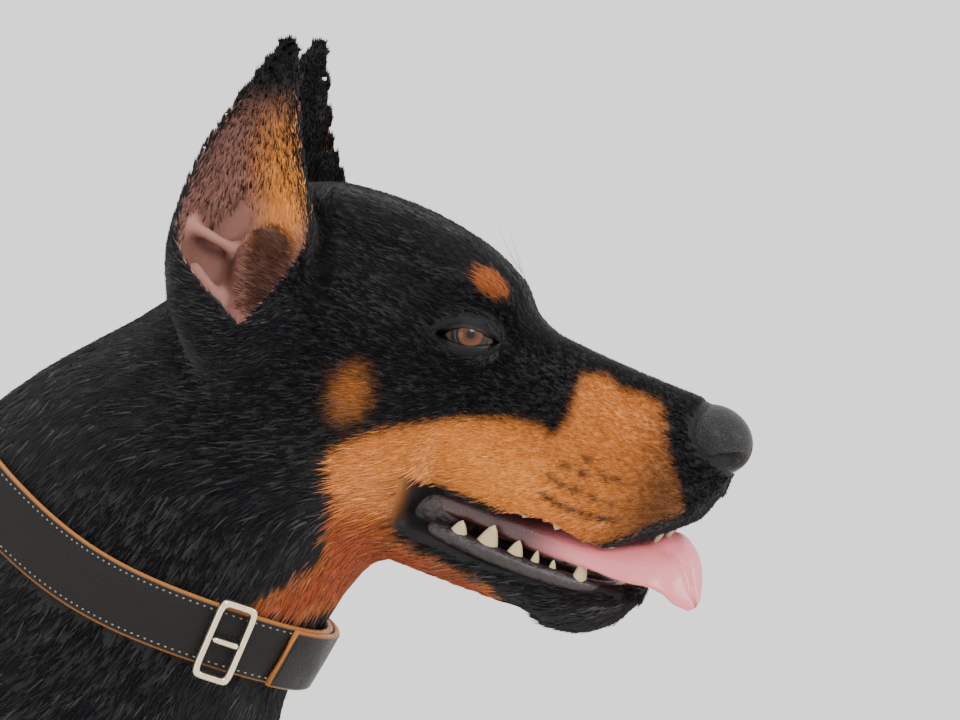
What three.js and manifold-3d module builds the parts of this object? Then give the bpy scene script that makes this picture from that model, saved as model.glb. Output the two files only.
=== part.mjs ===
// A life-size Doberman Pinscher, standing square with its head raised, ears cropped and upright, its mouth a little
// open with the tongue over the right lip, a docked tail, and a buckled leather collar low on the neck.
// Millimetres, +X towards the nose, +Y to the dog's left, +Z up, floor at z = 0.
import * as THREE from "three";
import Module from "manifold-3d";
import { mergeVertices } from "three/examples/jsm/utils/BufferGeometryUtils.js";

const wasm = await Module();
wasm.setup();

const { min, max, abs, sqrt, hypot, sin, cos, exp, PI, atan2 } = Math;
const degrees = THREE.MathUtils.degToRad;
const { clamp, lerp, smoothstep } = THREE.MathUtils;

// Driving dimensions. Everything is placed from the withers, straight above x = 0 here.
const WITHERS_HEIGHT = 700;
const HEAD_PITCH = degrees(23);
const EYE_AHEAD_OF_WITHERS = 314;
const EYE_ABOVE_WITHERS = 150;
const GAP = 0.3;

// Grid steps that the flesh is worked out on, and the faces that each half keeps.
const HEAD_STEP = 2.2;
const BODY_STEP = 7;
const HEAD_FACES = 4500;
const BODY_FACES = 4700;

const eye = { x: EYE_AHEAD_OF_WITHERS, z: WITHERS_HEIGHT + EYE_ABOVE_WITHERS };
const pitchSin = sin(HEAD_PITCH);
const pitchCos = cos(HEAD_PITCH);

// A point of the head's own frame (along the muzzle, sideways, up) in the dog's frame.
function fromHead([along, side, up]) {
  return [eye.x + along * pitchCos + up * pitchSin, side, eye.z - along * pitchSin + up * pitchCos];
}

// A smooth curve through [place, value] knots that never overshoots them.
function curve(...knots) {
  const last = knots.length - 1;
  const rise = knots.slice(1).map(([t, v], i) => (v - knots[i][1]) / (t - knots[i][0]));
  const slope = knots.map((_, i) => {
    if (i === 0 || i === last) return 0;
    const product = rise[i - 1] * rise[i];
    return product <= 0 ? 0 : (2 * product) / (rise[i - 1] + rise[i]);
  });
  return (t) => {
    if (t <= knots[0][0]) return knots[0][1];
    if (t >= knots[last][0]) return knots[last][1];
    let i = 0;
    while (t > knots[i + 1][0]) i++;
    const span = knots[i + 1][0] - knots[i][0];
    const u = (t - knots[i][0]) / span;
    const w = 1 - u;
    return (
      w * w * (1 + 2 * u) * knots[i][1] +
      u * u * (3 - 2 * u) * knots[i + 1][1] +
      span * u * w * (w * slope[i] - u * slope[i + 1])
    );
  };
}

// Distance fields: negative inside. Two distances joined with a fillet, and one carved out of another.
function fillet(reach, a, b) {
  const h = max(reach - abs(a - b), 0) / reach;
  return min(a, b) - (h * h * reach) / 4;
}
const carve = (reach, body, cutter) => -fillet(reach, -body, cutter);

// A tapered stretch of limb between two joints. flat under 1 makes it narrower across the body.
function limb([ax, ay, az], [bx, by, bz], ra, rb, flat = 1) {
  const ux = bx - ax;
  const uy = (by - ay) / flat;
  const uz = bz - az;
  const length2 = ux * ux + uy * uy + uz * uz;
  return (x, y, z) => {
    const px = x - ax;
    const py = (y - ay) / flat;
    const pz = z - az;
    const t = clamp((px * ux + py * uy + pz * uz) / length2, 0, 1);
    return hypot(px - t * ux, py - t * uy, pz - t * uz) - lerp(ra, rb, t);
  };
}

// A rounded mass of muscle or bone, its long axis raised by pitch degrees.
function mass([cx, cy, cz], [rx, ry, rz], pitch = 0) {
  const s = sin(degrees(pitch));
  const c = cos(degrees(pitch));
  return (x, y, z) => {
    const px = (x - cx) * c + (z - cz) * s;
    const py = y - cy;
    const pz = (z - cz) * c - (x - cx) * s;
    const near = hypot(px / rx, py / ry, pz / rz);
    const slope = hypot(px / (rx * rx), py / (ry * ry), pz / (rz * rz));
    return slope > 0 ? (near * (near - 1)) / slope : -min(rx, ry, rz);
  };
}

// A soft swelling (lift above 0) or hollow (below 0) on a surface.
function swell([cx, cy, cz], [sx, sy, sz], lift) {
  return (x, y, z) => {
    const q = ((x - cx) / sx) ** 2 + ((y - cy) / sy) ** 2 + ((z - cz) / sz) ** 2;
    return q > 9 ? 0 : lift * exp(-q);
  };
}

function joined(reach, fields) {
  return (x, y, z) => fields.reduce((d, f) => fillet(reach, d, f(x, y, z)), 1e3);
}

// The head in its own frame: its outline from the side and from above, from the occiput to the lips.
const skullTop = curve(
  [-128, -24], [-118, 12], [-100, 31], [-71, 41.5], [-42, 44], [-10, 41], [13, 33.5], [29, 20], [44, 15.6], [78, 15],
  [113, 15.5], [132, 11], [142, 4],
);
const skullUnder = curve(
  [-90, -60], [-60, -96], [-30, -113], [7, -115], [10, -104], [17, -83], [24, -79.5], [42, -78.5], [62, -79.5], [82, -79],
  [101, -74], [112, -65], [120, -56], [129, -47.5], [136, -40], [141, -27],
);
// Where the widest level of the head lies, which runs on smoothly past the corner of the mouth.
const skullMiddle = curve([-120, -28], [-60, -28], [-30, -34], [0, -34], [30, -34], [60, -33], [101, -29], [120, -22], [141, -10]);
const skullWidth = curve([-128, 18], [-115, 36], [-95, 48], [-60, 56], [-25, 57], [0, 51], [22, 40], [42, 31], [62, 27], [85, 26], [112, 25.5]);
const jawTop = curve([-20, -86], [15, -88], [52, -88.5], [72, -85], [95, -81.5], [112, -77], [126, -76]);
const jawUnder = curve([-20, -115], [10, -116], [33, -115], [62, -113.5], [76, -112.5], [90, -115.5], [104, -112], [118, -101.5], [126, -88]);
const jawWidth = curve([-20, 27], [15, 30], [40, 27], [70, 23.5], [98, 22]);
const MUZZLE_ROUNDS_FROM = 112;
const MUZZLE_TIP = 143;
const CHIN_ROUNDS_FROM = 98;
const CHIN_TIP = 127;

// How far a section narrows as it comes to a rounded front end.
function roundedEnd(along, from, tip) {
  return along <= from ? 1 : sqrt(max(1e-3, 1 - ((along - from) / (tip - from)) ** 2));
}

// One slice of a form given by its top, underside, widest level and half-width. A square above 2 gives flatter sides.
function slice(side, up, top, under, middle, halfWidth, narrowTop, narrowUnder, squareTop, squareUnder) {
  const half = max((top - under) / 2, 1);
  const level = (up - middle) / max(up > middle ? top - middle : middle - under, 1);
  const taper = level > 0 ? 1 - narrowTop * level : 1 + narrowUnder * level;
  const wide = max(halfWidth * max(taper, 0.3), 1);
  const square = level > 0 ? squareTop : squareUnder;
  const q = (abs(side / wide) ** square + abs(level) ** square) ** (1 / square);
  return (q - 1) * min(wide, half) * 0.9;
}

const eyeball = { at: [8, 33, 0], radius: 12 };
const LID_THICKNESS = 2.4;
const lidMound = mass(eyeball.at, [17, 14, 13].map((r) => r + LID_THICKNESS - 2));
const headSwellings = [
  swell([8, 29, 20], [17, 12, 9], 4.5),
  swell([25, 33, 3], [11, 9, 10], -3),
  swell([6, 46, 2], [15, 9, 8], -2.5),
  swell([-20, 50, -15], [32, 13, 11], 3),
  swell([-36, 44, 20], [27, 15, 13], -3.5),
  swell([-32, 46, -62], [34, 17, 28], 4),
  swell([44, 30, -22], [22, 10, 17], -2.5),
  swell([104, 26, -40], [22, 11, 19], 2.5),
  swell([20, 0, 30], [27, 7, 12], -2),
];
const mouthRoof = mass([70, 0, -70], [57, 22, 20]);
const mouthFloor = mass([68, 0, -83], [54, 16, 11]);

function headField(along, side, up) {
  const s = abs(side);
  const muzzle = smoothstep(along, 8, 46);
  const under = skullUnder(along);
  const wide = skullWidth(along) * roundedEnd(along, MUZZLE_ROUNDS_FROM, MUZZLE_TIP);
  const top = skullTop(along);
  const narrow = [lerp(0.14, 0.22, muzzle), lerp(0.32, -0.16, muzzle)];
  let upper = slice(s, up, top, under, skullMiddle(along), wide, ...narrow, lerp(2.3, 2.7, muzzle), lerp(2.3, 4, muzzle));
  for (const f of headSwellings) upper -= f(along, s, up);
  upper = max(upper, along - MUZZLE_TIP, -120 - along);
  upper = carve(4, upper, mouthRoof(along, s, up));
  const lowWide = jawWidth(along) * roundedEnd(along, CHIN_ROUNDS_FROM, CHIN_TIP);
  const [lip, chin] = [jawTop(along), jawUnder(along)];
  let lower = slice(s, up, lip, chin, (lip + chin) / 2, lowWide, 0.05, 0.35, 2.5, 2.5);
  lower = max(lower, along - CHIN_TIP, -20 - along);
  lower = carve(3, lower, mouthFloor(along, s, up));
  return fillet(4, upper, lower);
}

// The nose leather, with its two comma-shaped nostrils and the groove between them.
const noseLeather = mass([128, 0, -1], [18, 19.5, 14.5], -6);
const nostril = limb([146, 9, -6], [132, 13, -6], 5, 3);
const nostrilSlit = limb([140, 13.5, -9], [124, 21, -14], 2.2, 1.5);
const noseGroove = limb([147, 0, 6], [142, 0, -22], 1.1, 1.4);
function noseField(along, side, up) {
  const s = abs(side);
  let d = noseLeather(along, s, up);
  d = carve(2, d, nostril(along, s, up));
  d = carve(1.5, d, nostrilSlit(along, s, up));
  return carve(1.5, d, noseGroove(along, s, up));
}

// One cropped ear by level slices above the eye: each an arc of a circle, open outwards and a little forwards.
const ear = {
  foot: -34,
  tip: 134,
  ahead: curve([-34, -96], [0, -100], [35, -96], [60, -92.5], [82, -89], [108, -82], [134, -77]),
  side: curve([-34, 34], [0, 50], [35, 58], [60, 58], [82, 56], [108, 49], [134, 38]),
  radius: curve([-34, 9], [0, 23], [18, 28.5], [40, 31.5], [60, 29.5], [82, 26.5], [108, 20], [126, 12], [134, 6.5]),
  opening: curve([0, 172], [15, 150], [36, 112], [60, 78], [82, 60], [108, 46], [134, 40]),
  thick: curve([0, 9], [35, 7], [80, 6], [134, 5]),
  turned: degrees(20),
};
const earRoot = limb([eye.x - 93, 38, eye.z - 36], [eye.x - 99, 50, eye.z - 9], 20, 20);
const earLump = mass([eye.x - 88, 46, eye.z + 22], [15, 12, 24]);
const earFolds = joined(5, [
  limb([eye.x - 121, 48, eye.z + 47], [eye.x - 103, 40, eye.z + 36], 4.5, 3.5),
  limb([eye.x - 119, 51, eye.z + 27], [eye.x - 101, 49, eye.z + 3], 4.5, 4.5),
]);
function earField(x, side, z) {
  const level = clamp(z - eye.z, ear.foot, ear.tip);
  const past = max(z - eye.z - ear.tip, ear.foot - (z - eye.z), 0);
  const px = x - eye.x - ear.ahead(level);
  const py = side - ear.side(level);
  const u = px * cos(ear.turned) - py * sin(ear.turned);
  const v = px * sin(ear.turned) + py * cos(ear.turned);
  const r = ear.radius(level);
  const reach = degrees(ear.opening(level));
  const angle = atan2(u, -v);
  const held = clamp(angle, -reach, reach);
  const edge = 1 - 0.25 * smoothstep(abs(held), reach * 0.5, reach);
  const flat = hypot(u - r * sin(held), v + r * cos(held)) - (ear.thick(level) * edge) / 2;
  const shell = past > 0 ? hypot(max(flat, 0), past) + min(flat, 0) : flat;
  return fillet(5, fillet(12, fillet(14, earRoot(x, side, z), shell), earLump(x, side, z)), earFolds(x, side, z));
}

// Neck and trunk, back to front and top to bottom.
const neck = joined(45, [
  limb([232, 0, 816], [149, 0, 740], 75, 85, 0.72),
  limb([149, 0, 740], [104, 0, 655], 85, 110, 0.68),
  limb([60, 0, 640], [118, 0, 600], 90, 94, 0.74),
]);
const trunk = joined(60, [
  mass([-70, 0, 522], [215, 103, 172], 2),
  limb([50, 0, 640], [-140, 0, 628], 56, 50, 0.8),
  mass([-290, 0, 586], [190, 76, 94], 0),
  mass([-405, 0, 592], [108, 84, 80], -8),
  mass([112, 0, 540], [88, 68, 100], 0),
  limb([150, 0, 500], [-80, 0, 398], 46, 46, 0.8),
  limb([-120, 0, 450], [-330, 0, 540], 84, 62, 0.85),
]);
const tailStub = limb([-470, 0, 632], [-562, 0, 668], 27, 15);

// Legs of one side. joints are named once and the muscles hang on them.
const fore = {
  blade: [20, 55, 672],
  shoulder: [146, 76, 512],
  elbow: [-8, 88, 392],
  wrist: [6, 84, 140],
  pastern: [24, 84, 52],
};
const foreleg = joined(26, [
  limb(fore.blade, fore.shoulder, 40, 38, 0.75),
  limb(fore.shoulder, fore.elbow, 40, 40, 0.72),
  mass([18, 92, 470], [52, 28, 78], 30),
  limb(fore.elbow, fore.wrist, 37, 20.5, 0.82),
  mass([4, 88, 330], [31, 25, 74], -2),
  limb([-24, 84, 400], [-30, 82, 372], 18, 14),
]);
const forePastern = joined(14, [
  mass(fore.wrist, [22, 23, 26]),
  limb(fore.wrist, fore.pastern, 19.5, 18.5),
  limb([-12, 84, 122], [-14, 84, 108], 8, 7),
]);
const hind = {
  hip: [-405, 62, 570],
  stifle: [-325, 86, 420],
  hock: [-512, 76, 188],
  hockPoint: [-536, 75, 208],
  pastern: [-492, 75, 50],
};
const hindleg = joined(30, [
  limb(hind.hip, hind.stifle, 84, 42, 0.6),
  mass([-420, 76, 500], [84, 36, 112], -22),
  limb([-475, 55, 575], [-440, 72, 400], 42, 36, 0.75),
  limb(hind.stifle, hind.hock, 42, 19, 0.72),
  mass([-405, 78, 345], [38, 26, 78], 38),
]);
const hindPastern = joined(12, [
  limb([-452, 76, 300], hind.hockPoint, 13, 11, 0.8),
  limb(hind.stifle, hind.hock, 24, 19.5, 0.8),
  mass(hind.hock, [24, 19, 27], 0),
  limb(hind.hockPoint, [-512, 75, 160], 12, 16, 0.9),
  limb(hind.hock, hind.pastern, 18, 17, 0.95),
]);

// Toes of a foot from inside to outside: where each leaves the foot, how far ahead and high its knuckle is, and where
// its tip comes down.
const TOES = [
  [-21, 26, 8, -24],
  [-8, 37, 12, -9],
  [8, 37, 12, 9],
  [21, 26, 8, 24],
];

// A tight, arched foot: four toes, each from its knuckle down to its tip, round a heel pad.
function foot([x, y], scale) {
  const at = (dx, dy, dz) => [x + dx * scale, y + dy * scale, dz * scale];
  const forms = TOES.flatMap(([root, ahead, knuckle, tipSide]) => [
    limb(at(2, root * 0.75, 40), at(ahead - 4, root * 1.02, 30 + knuckle / 3), 13.5 * scale, 12 * scale),
    limb(at(ahead - 4, root * 1.02, 30 + knuckle / 3), at(ahead + 21, tipSide, 13.5), 12 * scale, 11 * scale),
    limb(at(ahead + 8, tipSide * 0.95, 6), at(ahead + 20, tipSide, 5.5), 9.5 * scale, 9 * scale),
  ]);
  forms.push(mass(at(10, 0, 8), [21 * scale, 20 * scale, 13 * scale]));
  forms.push(mass(at(4, 0, 34), [20 * scale, 23 * scale, 20 * scale]));
  return joined(4, forms);
}
const HIND_FOOT_SIZE = 0.9;
const forefoot = foot(fore.pastern, 1);
const hindfoot = foot(hind.pastern, HIND_FOOT_SIZE);

// The far legs stand a little behind the near ones.
const STAGGER = { fore: 22, hind: 30, from: 430 };
function flesh(x, y, z, withEars = true) {
  const s = abs(y);
  const lag = y > 0 ? clamp(1 - z / STAGGER.from, 0, 1) : 0;
  const forward = y > 0 ? x + STAGGER.fore * lag : x;
  const rear = y > 0 ? x - STAGGER.hind * lag : x;
  let d = 1e3;
  if (x < 260 && z < 780) {
    d = fillet(40, d, trunk(x, y, z));
    if (z < 730 && x > -110) d = fillet(30, d, foreleg(forward, s, z));
    if (z < 200 && x > -110) d = fillet(16, d, forePastern(forward, s, z));
    if (z < 110 && x > -110) d = fillet(10, d, forefoot(forward, s, z));
    if (x < -200) d = fillet(34, d, hindleg(rear, s, z));
    if (x < -380 && z < 340) d = fillet(14, d, hindPastern(rear, s, z));
    if (x < -380 && z < 110) d = fillet(10, d, hindfoot(rear, s, z));
    if (x < -400) d = fillet(22, d, tailStub(x, y, z));
  }
  if (z > 480 && x > -60) d = fillet(50, d, neck(x, y, z));
  if (z > 640 && x > 150) {
    const dx = x - eye.x;
    const dz = z - eye.z;
    const along = dx * pitchCos - dz * pitchSin;
    const up = dx * pitchSin + dz * pitchCos;
    d = fillet(16, d, headField(along, y, up));
    if (abs(along - eyeball.at[0]) < 40) d = fillet(7, d, lidMound(along, s, up));
    if (along > 90) d = fillet(2.5, d, noseField(along, y, up));
    if (withEars && dz > -70 && dx < -30) d = fillet(12, d, earField(x, s, z));
  }
  return d;
}

// Surface of a field over a box of cells. A cell holds one vertex for each sheet that passes through it, and four
// cells round a crossed grid edge give a quad.
const CELL_EDGES = [0, 1, 2].flatMap((axis) =>
  [0, 1, 2, 3].map((k) => {
    const start = ((k & 1) << (axis + 1) % 3) | ((k >> 1) << (axis + 2) % 3);
    return [start, start | (1 << axis)];
  }),
);
const CELL_SIDES = [0, 1, 2].flatMap((axis) => {
  const u = 1 << (axis + 1) % 3;
  const v = 1 << (axis + 2) % 3;
  return [0, 1 << axis].map((base) => [base, base | u, base | u | v, base | v]);
});
const edgeBetween = (a, b) => CELL_EDGES.findIndex(([p, q]) => (p === a && q === b) || (p === b && q === a));
const SIDE_EDGES = CELL_SIDES.map((side) => side.map((c, i) => edgeBetween(c, side[(i + 1) % 4])));

function surface(field, low, high, step) {
  const [nx, ny, nz] = low.map((v, i) => Math.ceil((high[i] - v) / step) + 1);
  const stride = [1, nx, nx * ny];
  const value = new Float32Array(nx * ny * nz);
  for (let k = 0, at = 0; k < nz; k++)
    for (let j = 0; j < ny; j++)
      for (let i = 0; i < nx; i++) value[at++] = field(low[0] + i * step, low[1] + j * step, low[2] + k * step);
  const single = new Int32Array(value.length).fill(-1);
  const several = new Map();
  const points = [];
  const cornerOffset = [0, 1, 2, 3, 4, 5, 6, 7].map((c) => (c & 1) + ((c >> 1) & 1) * nx + (c >> 2) * nx * ny);
  const inside = new Array(8);

  function placeVertices(at, i, j, k) {
    const root = CELL_EDGES.map(([a, b], e) => (inside[a] === inside[b] ? -1 : e));
    const find = (e) => (root[e] === e ? e : find(root[e]));
    CELL_SIDES.forEach((side, n) => {
      const crossed = SIDE_EDGES[n].filter((e) => root[e] >= 0);
      if (crossed.length === 2) root[find(crossed[0])] = find(crossed[1]);
      if (crossed.length < 4) return;
      side.forEach((c, m) => {
        if (inside[c]) root[find(SIDE_EDGES[n][m])] = find(SIDE_EDGES[n][(m + 3) % 4]);
      });
    });
    const sheets = new Map();
    CELL_EDGES.forEach(([a, b], e) => {
      if (root[e] < 0) return;
      const sheet = find(e);
      if (!sheets.has(sheet)) sheets.set(sheet, { sum: [0, 0, 0], count: 0, edges: [] });
      const entry = sheets.get(sheet);
      const va = value[at + cornerOffset[a]];
      const t = va / (va - value[at + cornerOffset[b]]);
      for (let m = 0; m < 3; m++) entry.sum[m] += lerp((a >> m) & 1, (b >> m) & 1, t);
      entry.count++;
      entry.edges.push(e);
    });
    for (const { sum, count, edges } of sheets.values()) {
      if (sheets.size === 1) single[at] = points.length;
      else edges.forEach((e) => several.set(at * 12 + e, points.length));
      points.push([i, j, k].map((g, m) => low[m] + (g + sum[m] / count) * step));
    }
  }

  for (let k = 0; k + 1 < nz; k++)
    for (let j = 0; j + 1 < ny; j++)
      for (let i = 0; i + 1 < nx; i++) {
        const at = i + nx * (j + ny * k);
        let count = 0;
        for (let c = 0; c < 8; c++) {
          inside[c] = value[at + cornerOffset[c]] < 0;
          count += inside[c];
        }
        if (count > 0 && count < 8) placeVertices(at, i, j, k);
      }

  const faces = [];
  const quadCells = [0, 1, 3, 2];
  for (let k = 1; k + 1 < nz; k++)
    for (let j = 1; j + 1 < ny; j++)
      for (let i = 1; i + 1 < nx; i++) {
        const at = i + nx * (j + ny * k);
        for (let axis = 0; axis < 3; axis++) {
          const startsInside = value[at] < 0;
          if (startsInside === value[at + stride[axis]] < 0) continue;
          const q = quadCells.map((n) => {
            const cell = at - (n & 1) * stride[(axis + 1) % 3] - (n >> 1) * stride[(axis + 2) % 3];
            return single[cell] >= 0 ? single[cell] : several.get(cell * 12 + axis * 4 + n);
          });
          if (!startsInside) q.reverse();
          faces.push([q[0], q[1], q[2]], [q[0], q[2], q[3]]);
        }
      }
  return { points, faces };
}

// Now and then two sheets pinch together along an edge. The grid is then shifted a little and tried again.
function cleanSurface(field, low, high, step) {
  for (let shift = 0; shift < 8; shift++) {
    const found = surface(field, low.map((v) => v - 0.11 * shift * step), high, step);
    const uses = new Map();
    for (const f of found.faces)
      f.forEach((a, i) => {
        const b = f[(i + 1) % 3];
        const key = min(a, b) * found.points.length + max(a, b);
        uses.set(key, (uses.get(key) ?? 0) + 1);
      });
    if ([...uses.values()].every((n) => n === 2)) return found;
  }
  throw new Error("the surface pinches wherever the grid is placed");
}

// The same surface with fewer faces: edges are drawn together where that moves the surface least, and never where
// it would fold a face over or pinch the surface.
function simplify({ points, faces }, target) {
  const quadric = points.map(() => new Float64Array(10));
  const around = points.map(() => new Set());
  const live = faces.map(() => true);
  const normalOf = (a, b, c) => {
    const u = [b[0] - a[0], b[1] - a[1], b[2] - a[2]];
    const v = [c[0] - a[0], c[1] - a[1], c[2] - a[2]];
    return [u[1] * v[2] - u[2] * v[1], u[2] * v[0] - u[0] * v[2], u[0] * v[1] - u[1] * v[0]];
  };
  const dot = (a, b) => a[0] * b[0] + a[1] * b[1] + a[2] * b[2];
  faces.forEach((f, n) => {
    const normal = normalOf(...f.map((v) => points[v]));
    const area = hypot(...normal) || 1e-9;
    const [a, b, c] = normal.map((v) => v / area);
    const d = -dot([a, b, c], points[f[0]]);
    const q = [a * a, a * b, a * c, a * d, b * b, b * c, b * d, c * c, c * d, d * d];
    for (const v of f) {
      around[v].add(n);
      for (let m = 0; m < 10; m++) quadric[v][m] += q[m] * area;
    }
  });
  const error = (q, [x, y, z]) =>
    q[0] * x * x + q[4] * y * y + q[7] * z * z + q[9] +
    2 * (q[1] * x * y + q[2] * x * z + q[3] * x + q[5] * y * z + q[6] * y + q[8] * z);
  function bestPlace(a, b) {
    const q = quadric[a].map((v, m) => v + quadric[b][m]);
    const mid = points[a].map((v, m) => (v + points[b][m]) / 2);
    const hold = 1e-3 * (q[0] + q[4] + q[7]) + 1e-12;
    const [m00, m11, m22] = [q[0] + hold, q[4] + hold, q[7] + hold];
    const r = [hold * mid[0] - q[3], hold * mid[1] - q[6], hold * mid[2] - q[8]];
    const c0 = m11 * m22 - q[5] * q[5];
    const c1 = q[2] * q[5] - q[1] * m22;
    const c2 = q[1] * q[5] - q[2] * m11;
    const det = m00 * c0 + q[1] * c1 + q[2] * c2;
    const place = [
      (c0 * r[0] + c1 * r[1] + c2 * r[2]) / det,
      (c1 * r[0] + (m00 * m22 - q[2] * q[2]) * r[1] + (q[1] * q[2] - m00 * q[5]) * r[2]) / det,
      (c2 * r[0] + (q[1] * q[2] - m00 * q[5]) * r[1] + (m00 * m11 - q[1] * q[1]) * r[2]) / det,
    ];
    return { place, cost: error(q, place) };
  }
  const neighbours = (v) => new Set([...around[v]].flatMap((n) => faces[n]).filter((w) => w !== v));
  const folds = (v, other, place) =>
    [...around[v]].some((n) => {
      if (faces[n].includes(other)) return false;
      const before = normalOf(...faces[n].map((w) => points[w]));
      const after = normalOf(...faces[n].map((w) => (w === v ? place : points[w])));
      return dot(before, after) < 0.35 * hypot(...before) * hypot(...after) + 1e-9;
    });
  let count = faces.length;
  while (count > target) {
    const edges = [];
    faces.forEach((f, n) => {
      if (!live[n]) return;
      f.forEach((a, m) => {
        const b = f[(m + 1) % 3];
        if (a < b) edges.push({ a, b, ...bestPlace(a, b) });
      });
    });
    edges.sort((p, q) => p.cost - q.cost);
    const touched = new Set();
    const before = count;
    for (const { a, b, place } of edges.slice(0, Math.ceil(edges.length * 0.4))) {
      if (count <= target) break;
      if (touched.has(a) || touched.has(b)) continue;
      const byA = neighbours(a);
      const byB = neighbours(b);
      if ([...byA].filter((v) => byB.has(v)).length !== 2) continue;
      if (folds(a, b, place) || folds(b, a, place)) continue;
      for (const n of around[b]) {
        if (faces[n].includes(a)) {
          live[n] = false;
          count--;
          faces[n].forEach((v) => v !== b && around[v].delete(n));
        } else {
          faces[n] = faces[n].map((v) => (v === b ? a : v));
          around[a].add(n);
        }
      }
      around[b].clear();
      points[a] = place;
      for (let m = 0; m < 10; m++) quadric[a][m] += quadric[b][m];
      for (const v of [a, b, ...byA, ...byB]) touched.add(v);
    }
    if (count === before) break;
  }
  return { points, faces: faces.filter((_, n) => live[n]) };
}

// Solids. Three.js shapes and the surfaces above become closed solids here, only to be joined and cut.
function solidOf(points, faces) {
  return new wasm.Manifold(
    new wasm.Mesh({
      numProp: 3,
      vertProperties: new Float32Array(points.flat()),
      triVerts: new Uint32Array(faces.flat()),
    }),
  );
}

function solidFromSurface({ points, faces }) {
  const renumbered = new Map();
  const kept = [];
  const place = (v) => {
    if (!renumbered.has(v)) {
      renumbered.set(v, kept.length);
      kept.push(points[v]);
    }
    return renumbered.get(v);
  };
  return solidOf(kept, faces.map((f) => f.map(place)));
}

function solid(geometry) {
  for (const name of Object.keys(geometry.attributes)) if (name !== "position") geometry.deleteAttribute(name);
  const merged = mergeVertices(geometry, 1e-4);
  const at = merged.getAttribute("position");
  const points = Array.from({ length: at.count }, (_, i) => [at.getX(i), at.getY(i), at.getZ(i)]);
  const index = [...merged.getIndex().array];
  const faces = [];
  for (let i = 0; i < index.length; i += 3) {
    const f = index.slice(i, i + 3);
    if (new Set(f).size === 3) faces.push(f);
  }
  return solidOf(points, faces);
}

const largest = (body) => body.decompose().reduce((a, b) => (a.volume() > b.volume() ? a : b));
const unite = (parts) => parts.reduce((a, b) => a.add(b));

// Keeps the side of a plane that normal points to. inset moves the cut into what is kept.
const keepBeyond = (body, normal, [x, y, z], inset = 0) =>
  body.trimByPlane(normal, normal[0] * x + normal[1] * y + normal[2] * z + inset);
const opposite = (normal) => normal.map((v) => -v);

// A side-view outline pushed out by grow and given width across the dog, from one y to another.
function slab(outline, yFrom, yTo, grow = 0) {
  const area = outline.reduce((sum, [x, z], i) => {
    const [nx, nz] = outline[(i + 1) % outline.length];
    return sum + x * nz - nx * z;
  }, 0);
  const out = area > 0 ? 1 : -1;
  const side = ([ax, az], [bx, bz]) => {
    const length = hypot(bx - ax, bz - az);
    return [(out * (bz - az)) / length, (out * (ax - bx)) / length];
  };
  const pushed = outline.map((at, i) => {
    const [n1, n2] = [side(outline.at(i - 1), at), side(at, outline[(i + 1) % outline.length])];
    const scale = grow / (1 + n1[0] * n2[0] + n1[1] * n2[1]);
    return new THREE.Vector2(at[0] + (n1[0] + n2[0]) * scale, at[1] + (n1[1] + n2[1]) * scale);
  });
  const depth = yTo - yFrom + 2 * grow;
  const geometry = new THREE.ExtrudeGeometry(new THREE.Shape(pushed), { depth, bevelEnabled: false });
  return solid(geometry.rotateX(PI / 2).translate(0, yTo + grow, 0));
}

// The same slab on the dog's right (side -1) or left (side 1), reaching from one distance off the midline to another.
const sideSlab = (side, outline, from, to, grow = 0) =>
  side > 0 ? slab(outline, from, to, grow) : slab(outline, -to, -from, grow);

// A round tapered rod along points, closed at both ends: teeth, claws and pins.
function rod(points, radii, sides = 8) {
  const path = points.map((p) => new THREE.Vector3(...p));
  const rings = path.map((p, i) => {
    const ahead = path[min(i + 1, path.length - 1)].clone().sub(path[max(i - 1, 0)]).normalize();
    const across = new THREE.Vector3(0, 1, 0.01).cross(ahead).normalize();
    const third = ahead.clone().cross(across);
    return Array.from({ length: sides }, (_, k) => {
      const turn = (2 * PI * k) / sides;
      const at = p.clone().addScaledVector(across, radii[i] * cos(turn)).addScaledVector(third, radii[i] * sin(turn));
      return at.toArray();
    });
  });
  return loft(rings);
}

// A closed solid through rings of equally many points. A closed run of rings makes a hoop instead of a rod.
function loft(rings, hoop = false) {
  const sides = rings[0].length;
  const points = rings.flat();
  const faces = [];
  const spans = hoop ? rings.length : rings.length - 1;
  for (let i = 0; i < spans; i++)
    for (let k = 0; k < sides; k++) {
      const [a, b] = [i * sides, ((i + 1) % rings.length) * sides];
      const next = (k + 1) % sides;
      faces.push([a + k, a + next, b + next], [a + k, b + next, b + k]);
    }
  if (!hoop) {
    for (const [ring, first] of [[rings[0], true], [rings.at(-1), false]]) {
      const middle = points.length;
      points.push(ring[0].map((_, m) => ring.reduce((sum, p) => sum + p[m], 0) / sides));
      const base = first ? 0 : (rings.length - 1) * sides;
      for (let k = 0; k < sides; k++) {
        const pair = [base + k, base + ((k + 1) % sides)];
        faces.push(first ? [middle, pair[1], pair[0]] : [middle, pair[0], pair[1]]);
      }
    }
  }
  const body = solidOf(points, faces);
  return body.volume() > 0 ? body : solidOf(points, faces.map((f) => [f[0], f[2], f[1]]));
}

// The flesh in two parts, finely for the head and coarsely for the rest, met at a plane behind the ears.
const nape = { at: [eye.x - 150, 0, eye.z + 20], normal: [0.7916, 0, 0.611] };
const collarbone = { at: [20, 0, 705], normal: [0.385, 0, 0.923] };
const beyond = ({ at, normal }, x, z) => (x - at[0]) * normal[0] + (z - at[2]) * normal[2];

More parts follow.
